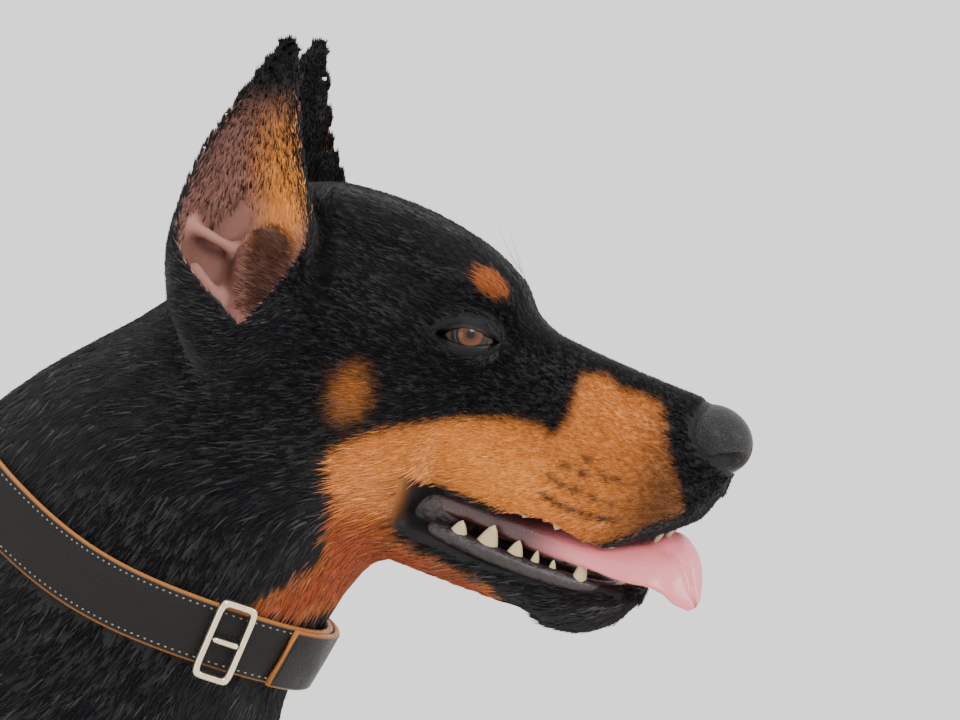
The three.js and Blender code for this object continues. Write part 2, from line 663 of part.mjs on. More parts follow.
const headSurface = cleanSurface(
  (x, y, z) => max(flesh(x, y, z), 700 - z, 150 - x),
  [144, -98, 694], [eye.x + 158, 98, eye.z + 140], HEAD_STEP,
);
const bodySurface = cleanSurface(
  (x, y, z) => max(flesh(x, y, z, false), beyond(nape, x, z) - 8),
  [-580, -150, -27], [310, 150, 920], BODY_STEP,
);
let headFlesh = solidFromSurface(simplify(headSurface, HEAD_FACES));
const wholeBody = solidFromSurface(simplify(bodySurface, BODY_FACES)).trimByPlane([0, 0, 1], 0);
const bodyFlesh = largest(keepBeyond(wholeBody, opposite(nape.normal), nape.at, GAP / 2));
headFlesh = keepBeyond(headFlesh, nape.normal, [nape.at[0] - 22, 0, nape.at[2]]);

// Head: ears, lower jaw and nose are cut from it, and the eyes and mouth fitted into it.
const parts = new Map();
const earOutline = [[eye.x - 150, eye.z - 14], [eye.x - 30, eye.z - 14], [eye.x - 30, eye.z + 150], [eye.x - 150, eye.z + 150]];
const earBase = { at: (side) => [eye.x - 100, side * 50, eye.z + 30], normal: (side) => [0, side * 0.8, 0.6] };
for (const [side, name] of [[-1, "ear_right"], [1, "ear_left"]]) {
  const region = (grow) =>
    keepBeyond(sideSlab(side, earOutline, 20, 110, grow), earBase.normal(side), earBase.at(side), -grow);
  parts.set(name, largest(headFlesh.intersect(region(0))));
  headFlesh = headFlesh.subtract(region(GAP));
}
headFlesh = keepBeyond(headFlesh, nape.normal, nape.at, GAP / 2);

const headPlane = (outline) => outline.map(([along, up]) => {
  const [x, , z] = fromHead([along, 0, up]);
  return [x, z];
});
const noseOutline = headPlane([[119, -15], [160, -15], [160, 30], [119, 30]]);
const jawOutline = headPlane([
  [7, -86], [40, -84], [72, -83], [92, -79.5], [106, -74], [125, -66], [160, -66], [160, -150], [-26, -150], [-14, -116],
]);
parts.set("nose", largest(headFlesh.intersect(slab(noseOutline, -40, 40))));
headFlesh = headFlesh.subtract(slab(noseOutline, -40, 40, GAP));
let jaw = largest(headFlesh.intersect(slab(jawOutline, -80, 80)));
headFlesh = largest(headFlesh.subtract(slab(jawOutline, -80, 80, GAP)));

// Teeth: [along, side, up] of the root and of the tip, and the root's radius, for one side of the mouth.
const lowerTeeth = [
  [[97, 16, -88], [95, 18.5, -75], 4],
  [[84, 17, -90], [83, 18, -82], 2.6],
  [[75, 18, -91], [74.5, 19, -81], 3],
  [[65, 19, -92], [65, 20, -80], 3.6],
  [[51, 20, -93], [51.5, 21, -78], 4.6],
  [[37, 21, -93], [37, 22, -82], 4],
  [[115, 4, -84], [117, 4, -75], 2.3],
  [[113.5, 9, -84], [115.5, 9.5, -75.5], 2.3],
];
const upperTeeth = [
  [[107, 17, -54], [104, 17, -69], 4],
  [[92, 18, -60], [91, 18, -68], 2.8],
  [[79, 18, -60], [78, 18, -69], 3.4],
  [[62, 18, -60], [62, 18, -70], 4.4],
  [[44, 18, -60], [44, 18, -71], 4.8],
  [[125, 4, -46], [125, 4, -55], 2.4],
  [[122, 10, -48], [122, 10, -57], 2.4],
];
function teeth(rows) {
  return rows.flatMap(([root, tip, radius]) =>
    [-1, 1].map((side) => {
      const at = (t) => fromHead(root.map((v, i) => lerp(v, tip[i], t) * (i === 1 ? side : 1)));
      return rod([at(0), at(0.6), at(1)], [radius, radius * 0.75, 0.4], 6);
    }),
  );
}

// Tongue: each row gives its left and right edge in the head's frame, its thickness and how far its middle arches up.
const tongueRows = [
  [[6, 15, -84], [6, -15, -84], 12, 2],
  [[24, 16, -80], [24, -16, -80], 17, 3],
  [[48, 16, -78], [48, -17, -78], 18, 4],
  [[72, 16, -76], [70, -18.5, -77], 14, 5],
  [[95, 14, -70], [90, -21.5, -76], 9.5, 6],
  [[114, 12, -60], [107, -25.5, -77.5], 6.5, 6],
  [[130, 9, -50.5], [121, -28, -76], 5.5, 5],
  [[140, 4, -54], [130, -28.5, -74], 4.8, 4],
  [[146, 0, -60], [137, -27.5, -74.5], 4.4, 3],
  [[150, -5, -67], [143, -25, -77], 3.6, 2],
  [[152.5, -11, -73], [150, -19, -78], 2.4, 1],
];
function tongueSolid(grow) {
  const rings = tongueRows.map(([left, right, thick, arch]) =>
    Array.from({ length: 14 }, (_, k) => {
      const turn = (2 * PI * k) / 14;
      const across = (1 + cos(turn)) / 2;
      const mid = left.map((v, i) => lerp(v, right[i], across));
      const lift = arch * (1 - (2 * across - 1) ** 2) + sin(turn) * (thick / 2 + grow);
      const spread = cos(turn) * grow;
      const width = hypot(left[1] - right[1], left[2] - right[2]);
      const tilt = [(left[1] - right[1]) / width, (left[2] - right[2]) / width];
      return fromHead([mid[0], mid[1] - spread * tilt[0] - lift * tilt[1], mid[2] - spread * tilt[1] + lift * tilt[0]]);
    }),
  );
  return loft(rings);
}
const tongueClear = tongueSolid(GAP);
jaw = largest(unite([jaw, ...teeth(lowerTeeth)]).subtract(tongueClear));
headFlesh = unite([headFlesh, ...teeth(upperTeeth)]).subtract(tongueClear).subtract(jaw);
parts.set("lower_jaw", jaw);
parts.set("tongue", tongueSolid(0));

// Eyes: a ball in a socket, seen through an almond slit between the lids.
const almond = new THREE.Shape();
almond.moveTo(-13.5, -2.5);
almond.quadraticCurveTo(-1, 9.5, 13.5, 2);
almond.quadraticCurveTo(3, -8.5, -13.5, -2.5);
for (const [side, name] of [[-1, "eye_right"], [1, "eye_left"]]) {
  const centre = fromHead([eyeball.at[0], side * eyeball.at[1], eyeball.at[2]]);
  const ball = (r) => solid(new THREE.SphereGeometry(r, 16, 10).rotateX(PI / 2).translate(...centre));
  const slit = new THREE.ExtrudeGeometry(almond, { depth: 24, bevelEnabled: false, curveSegments: 7 });
  slit.rotateX(PI / 2).translate(0, side > 0 ? 24 : 0, 0).rotateY(HEAD_PITCH);
  slit.translate(centre[0], centre[1] + (side > 0 ? 2 : -2), centre[2]);
  headFlesh = headFlesh.subtract(ball(eyeball.radius + GAP)).subtract(solid(slit));
  parts.set(name, ball(eyeball.radius));
}
parts.set("head", largest(headFlesh));

// Trunk and legs. Each outline is what the leg takes of the flesh, in side view.
const legs = {
  fore: {
    shoulder: [[-78, 340], [-100, 440], [-62, 560], [0, 640], [60, 665], [130, 610], [196, 520], [165, 430], [110, 340]],
    from: 52,
    below: [[-110, 344], [130, 344], [130, -20], [-110, -20]],
    cuts: [372, 92],
  },
  hind: {
    shoulder: [[-248, 380], [-262, 470], [-310, 570], [-400, 648], [-470, 640], [-530, 580], [-560, 380]],
    from: 46,
    below: [[-350, 500], [-350, 392], [-240, 392], [-240, -20], [-600, -20], [-600, 470], [-560, 500]],
    cuts: [356, 76],
  },
};
let [neckFlesh, trunkFlesh] = bodyFlesh.splitByPlane(collarbone.normal, collarbone.at[0] * collarbone.normal[0] + collarbone.at[2] * collarbone.normal[2]);
neckFlesh = largest(keepBeyond(neckFlesh, collarbone.normal, collarbone.at, GAP));
trunkFlesh = largest(trunkFlesh);

const level = [0, 0, 1];
function claws(kind, side) {
  const [[x, y], size] = kind === "fore" ? [fore.pastern, 1] : [hind.pastern, HIND_FOOT_SIZE];
  const lag = (side > 0) * (kind === "fore" ? -STAGGER.fore : STAGGER.hind);
  return TOES.map(([, ahead, , tipSide]) => {
    const at = (dx, dz) => [x + lag + (ahead + dx) * size, side * (y + tipSide * size), dz * size];
    return rod([at(18, 16), at(31, 13.5), at(39, 5)], [3.6 * size, 3 * size, 0.7], 6);
  });
}
for (const [side, hand] of [[-1, "right"], [1, "left"]])
  for (const [kind, { shoulder, from, below, cuts }] of Object.entries(legs)) {
    const region = (grow) => sideSlab(side, shoulder, from, 200, grow).add(sideSlab(side, below, 0.3, 200, grow));
    const leg = largest(trunkFlesh.intersect(region(0)));
    trunkFlesh = trunkFlesh.subtract(region(GAP));
    const [joint, ankle] = cuts.map((z) => [0, 0, z]);
    parts.set(`${kind}leg_upper_${hand}`, largest(keepBeyond(leg, level, joint, GAP)));
    const lower = keepBeyond(leg, opposite(level), joint);
    parts.set(`${kind}leg_lower_${hand}`, largest(keepBeyond(lower, level, ankle, GAP)));
    const paw = largest(keepBeyond(lower, opposite(level), ankle));
    parts.set(`${kind}paw_${hand}`, largest(unite([paw, ...claws(kind, side)])));
  }
const dock = { at: [-501, 0, 645], normal: [-0.93, 0, 0.36] };
parts.set("tail", largest(keepBeyond(trunkFlesh, dock.normal, dock.at, GAP)));
parts.set("torso", largest(keepBeyond(trunkFlesh, opposite(dock.normal), dock.at)));

// Collar: a strap laid on the neck, found by walking out from the middle of the neck until it leaves the flesh.
const collar = {
  centre: [eye.x - 162, 0, eye.z - 106],
  front: [0.86, 0, -0.511],
  up: [0.511, 0, 0.86],
  width: 30,
  thick: 3.8,
  clear: 1.2,
  sag: 11,
};
function neckRadius(turn, along) {
  const point = (r) => collarPoint(turn, along, r);
  let [inner, outer] = [20, 130];
  while (outer - inner > 0.05) {
    const middle = (inner + outer) / 2;
    if (flesh(...point(middle), false) < 0) inner = middle;
    else outer = middle;
  }
  return inner;
}
function collarPoint(turn, along, r) {
  const rise = along - collar.sag * sin(turn) ** 2;
  return [0, 1, 2].map((m) =>
    collar.centre[m] + collar.up[m] * rise + r * (cos(turn) * collar.front[m] + (m === 1 ? sin(turn) : 0)),
  );
}
const STRAP_STEPS = 56;
const strapFit = Array.from({ length: STRAP_STEPS }, (_, i) => {
  const turn = (2 * PI * i) / STRAP_STEPS;
  return { turn, low: neckRadius(turn, -collar.width / 2), high: neckRadius(turn, collar.width / 2) };
});

// A run of strap standing off the neck by lift, from one step to another, or right round.
function strap(from, to, lift, thick, width, grow = 0) {
  const rings = [];
  for (let i = from; i < to; i++) {
    const { turn, low, high } = strapFit[(i + STRAP_STEPS) % STRAP_STEPS];
    const half = width / 2 + grow;
    const at = (along, out) => collarPoint(turn, along, lerp(low, high, (along + collar.width / 2) / collar.width) + out);
    const [near, far] = [lift - grow, lift + thick + grow];
    rings.push([at(-half, near), at(half, near), at(half, far - 0.8), at(half - 0.8, far), at(0.8 - half, far), at(-half, far - 0.8)]);
  }
  return loft(rings, to - from === STRAP_STEPS);
}
parts.set("neck", largest(neckFlesh.subtract(strap(0, STRAP_STEPS, collar.clear, collar.thick, collar.width, 0.4))));
parts.set("collar_strap", strap(0, STRAP_STEPS, collar.clear, collar.thick, collar.width));

// The buckle lies on the strap's right front. Its free end runs on over the strap under the throat.
const BUCKLE_STEP = -6;
const overStrap = collar.clear + collar.thick + GAP;
parts.set("collar_end", strap(BUCKLE_STEP + 3, 4, overStrap, 3.4, collar.width));
const buckleTurn = strapFit[BUCKLE_STEP + STRAP_STEPS].turn;
function buckleFrame() {
  const { low, high } = strapFit[BUCKLE_STEP + STRAP_STEPS];
  const out = (low + high) / 2 + overStrap;
  const standOff = out + 1.8;
  const at = new THREE.Vector3(...collarPoint(buckleTurn, 0, standOff));
  const ahead = new THREE.Vector3(...collarPoint(buckleTurn + 0.05, 0, standOff)).sub(at).normalize();
  const flare = ((high - low) * 5) / collar.width;
  const top = new THREE.Vector3(...collarPoint(buckleTurn, 5, standOff + flare)).sub(at).normalize();
  const face = ahead.clone().cross(top).normalize();
  const upright = face.clone().cross(ahead).normalize();
  return new THREE.Matrix4().makeBasis(ahead, upright, face).setPosition(at);
}
const buckleAt = buckleFrame();
const rounded = (w, h, r, Kind) => {
  const shape = new Kind();
  shape.moveTo(r - w, -h).lineTo(w - r, -h).quadraticCurveTo(w, -h, w, r - h).lineTo(w, h - r);
  shape.quadraticCurveTo(w, h, w - r, h).lineTo(r - w, h).quadraticCurveTo(-w, h, -w, h - r).lineTo(-w, r - h);
  shape.quadraticCurveTo(-w, -h, r - w, -h);
  return shape;
};
const frameShape = rounded(10, 20, 4, THREE.Shape);
frameShape.holes.push(rounded(7, 16.6, 2, THREE.Path));
const frame = new THREE.ExtrudeGeometry(frameShape, { depth: 3.4, bevelEnabled: false, curveSegments: 4 });
const leatherRoom = strap(0, STRAP_STEPS, collar.clear, collar.thick, collar.width, GAP)
  .add(strap(BUCKLE_STEP + 3, 4, overStrap, 3.4, collar.width, GAP));
const buckle = largest(solid(frame.applyMatrix4(buckleAt)).subtract(leatherRoom));
parts.set("collar_buckle", buckle);
const pin = (x, z) => new THREE.Vector3(x, 0, z).applyMatrix4(buckleAt).toArray();
const pinRod = rod([pin(-6.6, 2.6), pin(0, 2.8), pin(6.6, 2.6)], [1.5, 1.5, 1.5], 8);
parts.set("collar_pin", largest(pinRod.subtract(leatherRoom)));

// Each part as a named mesh with a plain material of its own, centred over the middle of its bounding box.
const LOOKS = {
  coat: { color: 0x17171a, roughness: 0.45 },
  rust: { color: 0x8a4a1e, roughness: 0.6 },
  nose: { color: 0x1b1b1d, roughness: 0.4 },
  eye: { color: 0x3a1a0c, roughness: 0.08 },
  tongue: { color: 0xd9808c, roughness: 0.35 },
  leather: { color: 0x1c1b1a, roughness: 0.5 },
  brass: { color: 0xb9a06a, roughness: 0.3, metalness: 1 },
};
const lookOf = (name) => {
  if (/^(eye|nose|tongue)/.test(name)) return name.match(/^[a-z]+/)[0];
  if (/buckle|pin/.test(name)) return "brass";
  if (/collar/.test(name)) return "leather";
  return /paw/.test(name) ? "rust" : "coat";
};

const group = new THREE.Group();
group.name = "doberman_pinscher";
const bounds = new THREE.Box3();
for (const [name, body] of parts) {
  const { numProp, vertProperties, triVerts } = body.getMesh();
  const points = new Float32Array((vertProperties.length / numProp) * 3);
  for (let i = 0; i < points.length; i++) points[i] = vertProperties[Math.floor(i / 3) * numProp + (i % 3)];
  const geometry = new THREE.BufferGeometry();
  geometry.setAttribute("position", new THREE.BufferAttribute(points, 3));
  geometry.setIndex(new THREE.BufferAttribute(new Uint32Array(triVerts), 1));
  geometry.computeVertexNormals();
  geometry.computeBoundingBox();
  bounds.union(geometry.boundingBox);
  const mesh = new THREE.Mesh(geometry, new THREE.MeshStandardMaterial({ name: lookOf(name), ...LOOKS[lookOf(name)] }));
  mesh.name = name;
  group.add(mesh);
}
const middle = bounds.getCenter(new THREE.Vector3());
for (const mesh of group.children) mesh.geometry.translate(-middle.x, -middle.y, -bounds.min.z);

export default group;
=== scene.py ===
"""A life-size Doberman Pinscher with a buckled leather collar, seen from its right as in the photograph."""
import math

import bpy
import numpy as np
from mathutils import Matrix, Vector


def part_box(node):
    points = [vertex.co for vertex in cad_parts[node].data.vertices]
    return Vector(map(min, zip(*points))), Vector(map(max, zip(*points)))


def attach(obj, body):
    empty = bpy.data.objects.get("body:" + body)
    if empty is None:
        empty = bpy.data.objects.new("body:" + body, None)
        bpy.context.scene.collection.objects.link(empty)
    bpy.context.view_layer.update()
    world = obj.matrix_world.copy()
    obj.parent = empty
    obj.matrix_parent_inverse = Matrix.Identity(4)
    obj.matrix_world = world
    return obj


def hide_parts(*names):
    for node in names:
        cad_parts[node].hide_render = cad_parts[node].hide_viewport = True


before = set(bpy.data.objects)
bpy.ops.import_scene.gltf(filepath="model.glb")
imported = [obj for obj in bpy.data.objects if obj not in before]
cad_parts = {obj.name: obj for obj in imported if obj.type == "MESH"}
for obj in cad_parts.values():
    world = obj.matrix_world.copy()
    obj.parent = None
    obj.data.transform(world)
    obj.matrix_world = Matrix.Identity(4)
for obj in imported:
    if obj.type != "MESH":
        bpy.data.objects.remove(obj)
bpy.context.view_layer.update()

# Skin of the whole dog: black, with rust on muzzle, cheeks, brows, throat, chest, legs and feet. One piece, worked
# finely for the head and upper neck and more coarsely for the rest; the change of step lies under the collar.

# The dog's own frame: millimetres from a point on the floor under the withers, +X to the nose and +Y to the dog's
# left. The head has a frame of its own at the eyes: along the muzzle, sideways and up.
EYE = np.array([314.0, 0.0, 850.0])
PITCH = math.radians(23)
EYEBALL = np.array([8.0, 33.0, 0.0])
EYEBALL_RADIUS = 12.0
AHEAD = np.array([math.cos(PITCH), 0.0, -math.sin(PITCH)])
UPRIGHT = np.array([math.sin(PITCH), 0.0, math.cos(PITCH)])


def from_head(points):
    """Head frame to dog frame: the eyes' place, plus along times the muzzle's direction, plus up times its upright."""
    points = np.asarray(points, float)
    return EYE + points[..., :1] * AHEAD + points[..., 1:2] * [0, 1, 0] + points[..., 2:] * UPRIGHT


def to_head(points):
    """Dog frame to head frame: the dot products with the same directions."""
    offset = points - EYE
    return np.stack([offset @ AHEAD, offset[..., 1], offset @ UPRIGHT], -1)


eye_low, eye_high = (np.array(c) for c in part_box("eye_right"))
SHIFT = (eye_low + eye_high) / 2 * 1000 - from_head(EYEBALL * [1, -1, 1])


def to_scene(points):
    """Dog frame in millimetres to the scene in metres."""
    return (np.asarray(points, float) + SHIFT) / 1000


# The flesh under the skin. As in the CAD part it is a distance field: masses of muscle and bone joined with fillets,
# negative inside. The same named forms are used, so that the skin lies just inside the solids.
def smooth_step(value, low, high):
    """0 up to low, 1 from high on, and a smooth rise between them."""
    t = np.clip((value - low) / (high - low), 0, 1)
    return t * t * (3 - 2 * t)


def curve(*knots):
    """A smooth curve through (place, value) knots: cubic pieces whose slopes never overshoot the knots."""
    place, value = np.array(knots, float).T
    rise = np.diff(value) / np.diff(place)
    slope = np.zeros(len(place))
    same = rise[:-1] * rise[1:] > 0
    slope[1:-1][same] = 2 * (rise[:-1] * rise[1:])[same] / (rise[:-1] + rise[1:])[same]

    def at(t):
        t = np.clip(t, place[0], place[-1])
        i = np.clip(np.searchsorted(place, t, side="right") - 1, 0, len(place) - 2)
        span = place[i + 1] - place[i]
        u = (t - place[i]) / span
        w = 1 - u
        ends = w * w * (1 + 2 * u) * value[i] + u * u * (3 - 2 * u) * value[i + 1]
        return ends + span * u * w * (w * slope[i] - u * slope[i + 1])

    return at


def fillet(reach, a, b):
    """The lesser of two distances, with the corner between them rounded over reach."""
    h = np.maximum(reach - np.abs(a - b), 0) / reach
    return np.minimum(a, b) - h * h * reach / 4


def carve(reach, body, cutter):
    """body less cutter, with a rounded edge."""
    return -fillet(reach, -body, cutter)


def limb(a, b, ra, rb, flat=1.0):
    """Distance to a tapered stretch between two joints, squeezed sideways by flat."""
    a, b = np.array(a, float), np.array(b, float)
    squeeze = np.array([1, flat, 1])
    along = (b - a) / squeeze

    def at(p):
        offset = (p - a) / squeeze
        t = np.clip(offset @ along / (along @ along), 0, 1)
        return np.linalg.norm(offset - t[:, None] * along, axis=1) - (ra + (rb - ra) * t)

    return at


def mass(centre, radii, pitch=0.0):
    """Distance to an ellipsoid whose long axis is raised by pitch degrees, from its value and slope."""
    s, c = math.sin(math.radians(pitch)), math.cos(math.radians(pitch))
    radii = np.array(radii, float)

    def at(p):
        x, y, z = (p - centre).T
        q = np.stack([x * c + z * s, y, z * c - x * s], 1)
        near = np.linalg.norm(q / radii, axis=1)
        slope = np.linalg.norm(q / radii ** 2, axis=1)
        return near * (near - 1) / np.maximum(slope, 1e-6)

    return at


def swell(centre, size, lift):
    """A soft bump (lift above 0) or hollow: lift times a bell curve round centre."""
    return lambda p: lift * np.exp(-(((p - centre) / size) ** 2).sum(1))


def joined(reach, fields):
    """Several fields joined one after another with fillets."""
    def at(p):
        d = fields[0](p)
        for field in fields[1:]:
            d = fillet(reach, d, field(p))
        return d

    return at


skull_top = curve((-128, -24), (-118, 12), (-100, 31), (-71, 41.5), (-42, 44), (-10, 41), (13, 33.5), (29, 20),
                  (44, 15.6), (78, 15), (113, 15.5), (132, 11), (142, 4))
skull_under = curve((-90, -60), (-60, -96), (-30, -113), (7, -115), (10, -104), (17, -83), (24, -79.5), (42, -78.5),
                    (62, -79.5), (82, -79), (101, -74), (112, -65), (120, -56), (129, -47.5), (136, -40), (141, -27))
skull_middle = curve((-120, -28), (-60, -28), (-30, -34), (0, -34), (30, -34), (60, -33), (101, -29), (120, -22),
                     (141, -10))
skull_width = curve((-128, 18), (-115, 36), (-95, 48), (-60, 56), (-25, 57), (0, 51), (22, 40), (42, 31), (62, 27),
                    (85, 26), (112, 25.5))
jaw_top = curve((-20, -86), (15, -88), (52, -88.5), (72, -85), (95, -81.5), (112, -77), (126, -76))
jaw_under = curve((-20, -115), (10, -116), (33, -115), (62, -113.5), (76, -112.5), (90, -115.5), (104, -112),
                  (118, -101.5), (126, -88))
jaw_width = curve((-20, 27), (15, 30), (40, 27), (70, 23.5), (98, 22))
HEAD_SWELLINGS = [
    swell([8, 29, 20], [17, 12, 9], 4.5), swell([25, 33, 3], [11, 9, 10], -3), swell([6, 46, 2], [15, 9, 8], -2.5),
    swell([-20, 50, -15], [32, 13, 11], 3), swell([-36, 44, 20], [27, 15, 13], -3.5),
    swell([-32, 46, -62], [34, 17, 28], 4), swell([44, 30, -22], [22, 10, 17], -2.5),
    swell([104, 26, -40], [22, 11, 19], 2.5), swell([20, 0, 30], [27, 7, 12], -2),
]
mouth_roof = mass([70, 0, -70], [57, 22, 20])
mouth_floor = mass([68, 0, -83], [54, 16, 11])
lid_mound = mass(EYEBALL, [17.4, 14.4, 13.4])


def rounded_end(along, start, tip):
    """1 up to start, then a quarter circle down to nearly 0 at tip."""
    t = np.clip((along - start) / (tip - start), 0, 1)
    return np.sqrt(np.maximum(1e-3, 1 - t * t))


def slice_field(side, up, top, under, middle, width, narrow_top, narrow_under, square_top, square_under):
    """Distance to one slice: a superellipse from top to under, widest at middle, narrowed either way by the shares."""
    half = np.maximum((top - under) / 2, 1)
    level = (up - middle) / np.maximum(np.where(up > middle, top - middle, middle - under), 1)
    taper = np.where(level > 0, 1 - narrow_top * level, 1 + narrow_under * level)
    wide = np.maximum(width * np.maximum(taper, 0.3), 1)
    square = np.where(level > 0, square_top, square_under)
    q = (np.abs(side / wide) ** square + np.abs(level) ** square) ** (1 / square)
    return (q - 1) * np.minimum(wide, half) * 0.9


def head_field(h):
    """Skull and muzzle slices, with the swellings and the mouth's hollow, joined to the slices of the lower jaw."""
    along, side, up = h.T
    muzzle = smooth_step(along, 8, 46)
    width = skull_width(along) * rounded_end(along, 112, 143)
    upper = slice_field(side, up, skull_top(along), skull_under(along), skull_middle(along), width,
                        0.14 + 0.08 * muzzle, 0.32 - 0.48 * muzzle, 2.3 + 0.4 * muzzle, 2.3 + 1.7 * muzzle)
    for bump in HEAD_SWELLINGS:
        upper = upper - bump(h)
    upper = np.maximum(upper, np.maximum(along - 143, -120 - along))
    upper = carve(4, upper, mouth_roof(h))
    lip, chin = jaw_top(along), jaw_under(along)
    lower = slice_field(side, up, lip, chin, (lip + chin) / 2, jaw_width(along) * rounded_end(along, 98, 127),
                        0.05, 0.35, 2.5, 2.5)
    lower = np.maximum(lower, np.maximum(along - 127, -20 - along))
    lower = carve(3, lower, mouth_floor(h))
    return fillet(4, upper, lower)


ear_ahead = curve((-34, -96), (0, -100), (35, -96), (60, -92.5), (82, -89), (108, -82), (134, -77))
ear_side = curve((-34, 34), (0, 50), (35, 58), (60, 58), (82, 56), (108, 49), (134, 38))
ear_radius = curve((-34, 9), (0, 23), (18, 28.5), (40, 31.5), (60, 29.5), (82, 26.5), (108, 20), (126, 12), (134, 6.5))
ear_opening = curve((0, 172), (15, 150), (36, 112), (60, 78), (82, 60), (108, 46), (134, 40))
ear_thick = curve((0, 9), (35, 7), (80, 6), (134, 5))
ear_root = limb([EYE[0] - 93, 38, EYE[2] - 36], [EYE[0] - 99, 50, EYE[2] - 9], 20, 20)
ear_lump = mass([EYE[0] - 88, 46, EYE[2] + 22], [15, 12, 24])
ear_folds = joined(5, [
    limb([EYE[0] - 121, 48, EYE[2] + 47], [EYE[0] - 103, 40, EYE[2] + 36], 4.5, 3.5),
    limb([EYE[0] - 119, 51, EYE[2] + 27], [EYE[0] - 101, 49, EYE[2] + 3], 4.5, 4.5),
])


def ear_field(p):
    """Each level of the ear is an arc of a circle, open outwards. Radius, place and opening change with height."""
    height = p[:, 2] - EYE[2]
    level = np.clip(height, -34, 134)
    past = np.maximum(np.maximum(height - 134, -34 - height), 0)
    px, py = p[:, 0] - EYE[0] - ear_ahead(level), p[:, 1] - ear_side(level)
    turn = math.radians(20)
    u, v = px * math.cos(turn) - py * math.sin(turn), px * math.sin(turn) + py * math.cos(turn)
    r, reach = ear_radius(level), np.radians(ear_opening(level))
    held = np.clip(np.arctan2(u, -v), -reach, reach)
    edge = 1 - 0.25 * smooth_step(np.abs(held) / reach, 0.5, 1)
    flat = np.hypot(u - r * np.sin(held), v + r * np.cos(held)) - ear_thick(level) * edge / 2
    shell = np.where(past > 0, np.hypot(np.maximum(flat, 0), past) + np.minimum(flat, 0), flat)
    return fillet(5, fillet(12, fillet(14, ear_root(p), shell), ear_lump(p)), ear_folds(p))


neck = joined(45, [
    limb([232, 0, 816], [149, 0, 740], 75, 85, 0.72), limb([149, 0, 740], [104, 0, 655], 85, 110, 0.68),
    limb([60, 0, 640], [118, 0, 600], 90, 94, 0.74),
])
trunk = joined(60, [
    mass([-70, 0, 522], [215, 103, 172], 2), limb([50, 0, 640], [-140, 0, 628], 56, 50, 0.8),
    mass([-290, 0, 586], [190, 76, 94]), mass([-405, 0, 592], [108, 84, 80], -8),
    mass([112, 0, 540], [88, 68, 100]), limb([150, 0, 500], [-80, 0, 398], 46, 46, 0.8),
    limb([-120, 0, 450], [-330, 0, 540], 84, 62, 0.85),
])
tail_stub = limb([-470, 0, 632], [-562, 0, 668], 27, 15)
BLADE, SHOULDER, ELBOW, WRIST, FORE_PASTERN = [20, 55, 672], [146, 76, 512], [-8, 88, 392], [6, 84, 140], [24, 84, 52]
foreleg = joined(26, [
    limb(BLADE, SHOULDER, 40, 38, 0.75), limb(SHOULDER, ELBOW, 40, 40, 0.72), mass([18, 92, 470], [52, 28, 78], 30),
    limb(ELBOW, WRIST, 37, 20.5, 0.82), mass([4, 88, 330], [31, 25, 74], -2),
    limb([-24, 84, 400], [-30, 82, 372], 18, 14),
])
fore_pastern = joined(14, [
    mass(WRIST, [22, 23, 26]), limb(WRIST, FORE_PASTERN, 19.5, 18.5), limb([-12, 84, 122], [-14, 84, 108], 8, 7),
])
HIP, STIFLE, HOCK = [-405, 62, 570], [-325, 86, 420], [-512, 76, 188]
HOCK_POINT, HIND_PASTERN = [-536, 75, 208], [-492, 75, 50]
hindleg = joined(30, [
    limb(HIP, STIFLE, 84, 42, 0.6), mass([-420, 76, 500], [84, 36, 112], -22),
    limb([-475, 55, 575], [-440, 72, 400], 42, 36, 0.75), limb(STIFLE, HOCK, 42, 19, 0.72),
    mass([-405, 78, 345], [38, 26, 78], 38),
])
hind_pastern = joined(12, [
    limb([-452, 76, 300], HOCK_POINT, 13, 11, 0.8), limb(STIFLE, HOCK, 24, 19.5, 0.8), mass(HOCK, [24, 19, 27]),
    limb(HOCK_POINT, [-512, 75, 160], 12, 16, 0.9), limb(HOCK, HIND_PASTERN, 18, 17, 0.95),
])
TOES = [(-21, 26, 8, -24), (-8, 37, 12, -9), (8, 37, 12, 9), (21, 26, 8, 24)]


def foot(pastern, size):
    """Four arched toes, each from its root over the knuckle to its tip, round a heel pad."""
    def at(dx, dy, dz):
        return [pastern[0] + dx * size, pastern[1] + dy * size, dz * size]

    forms = []
    for root, ahead, knuckle, tip in TOES:
        top = at(ahead - 4, root * 1.02, 30 + knuckle / 3)
        forms.append(limb(at(2, root * 0.75, 40), top, 13.5 * size, 12 * size))
        forms.append(limb(top, at(ahead + 21, tip, 13.5), 12 * size, 11 * size))
        forms.append(limb(at(ahead + 8, tip * 0.95, 6), at(ahead + 20, tip, 5.5), 9.5 * size, 9 * size))
    forms.append(mass(at(10, 0, 8), [21 * size, 20 * size, 13 * size]))
    forms.append(mass(at(4, 0, 34), [20 * size, 23 * size, 20 * size]))
    return joined(4, forms)


HIND_FOOT_SIZE = 0.9
forefoot, hindfoot = foot(FORE_PASTERN, 1), foot(HIND_PASTERN, HIND_FOOT_SIZE)
FORE_LAG, HIND_LAG, LAG_FROM = 22, 30, 430


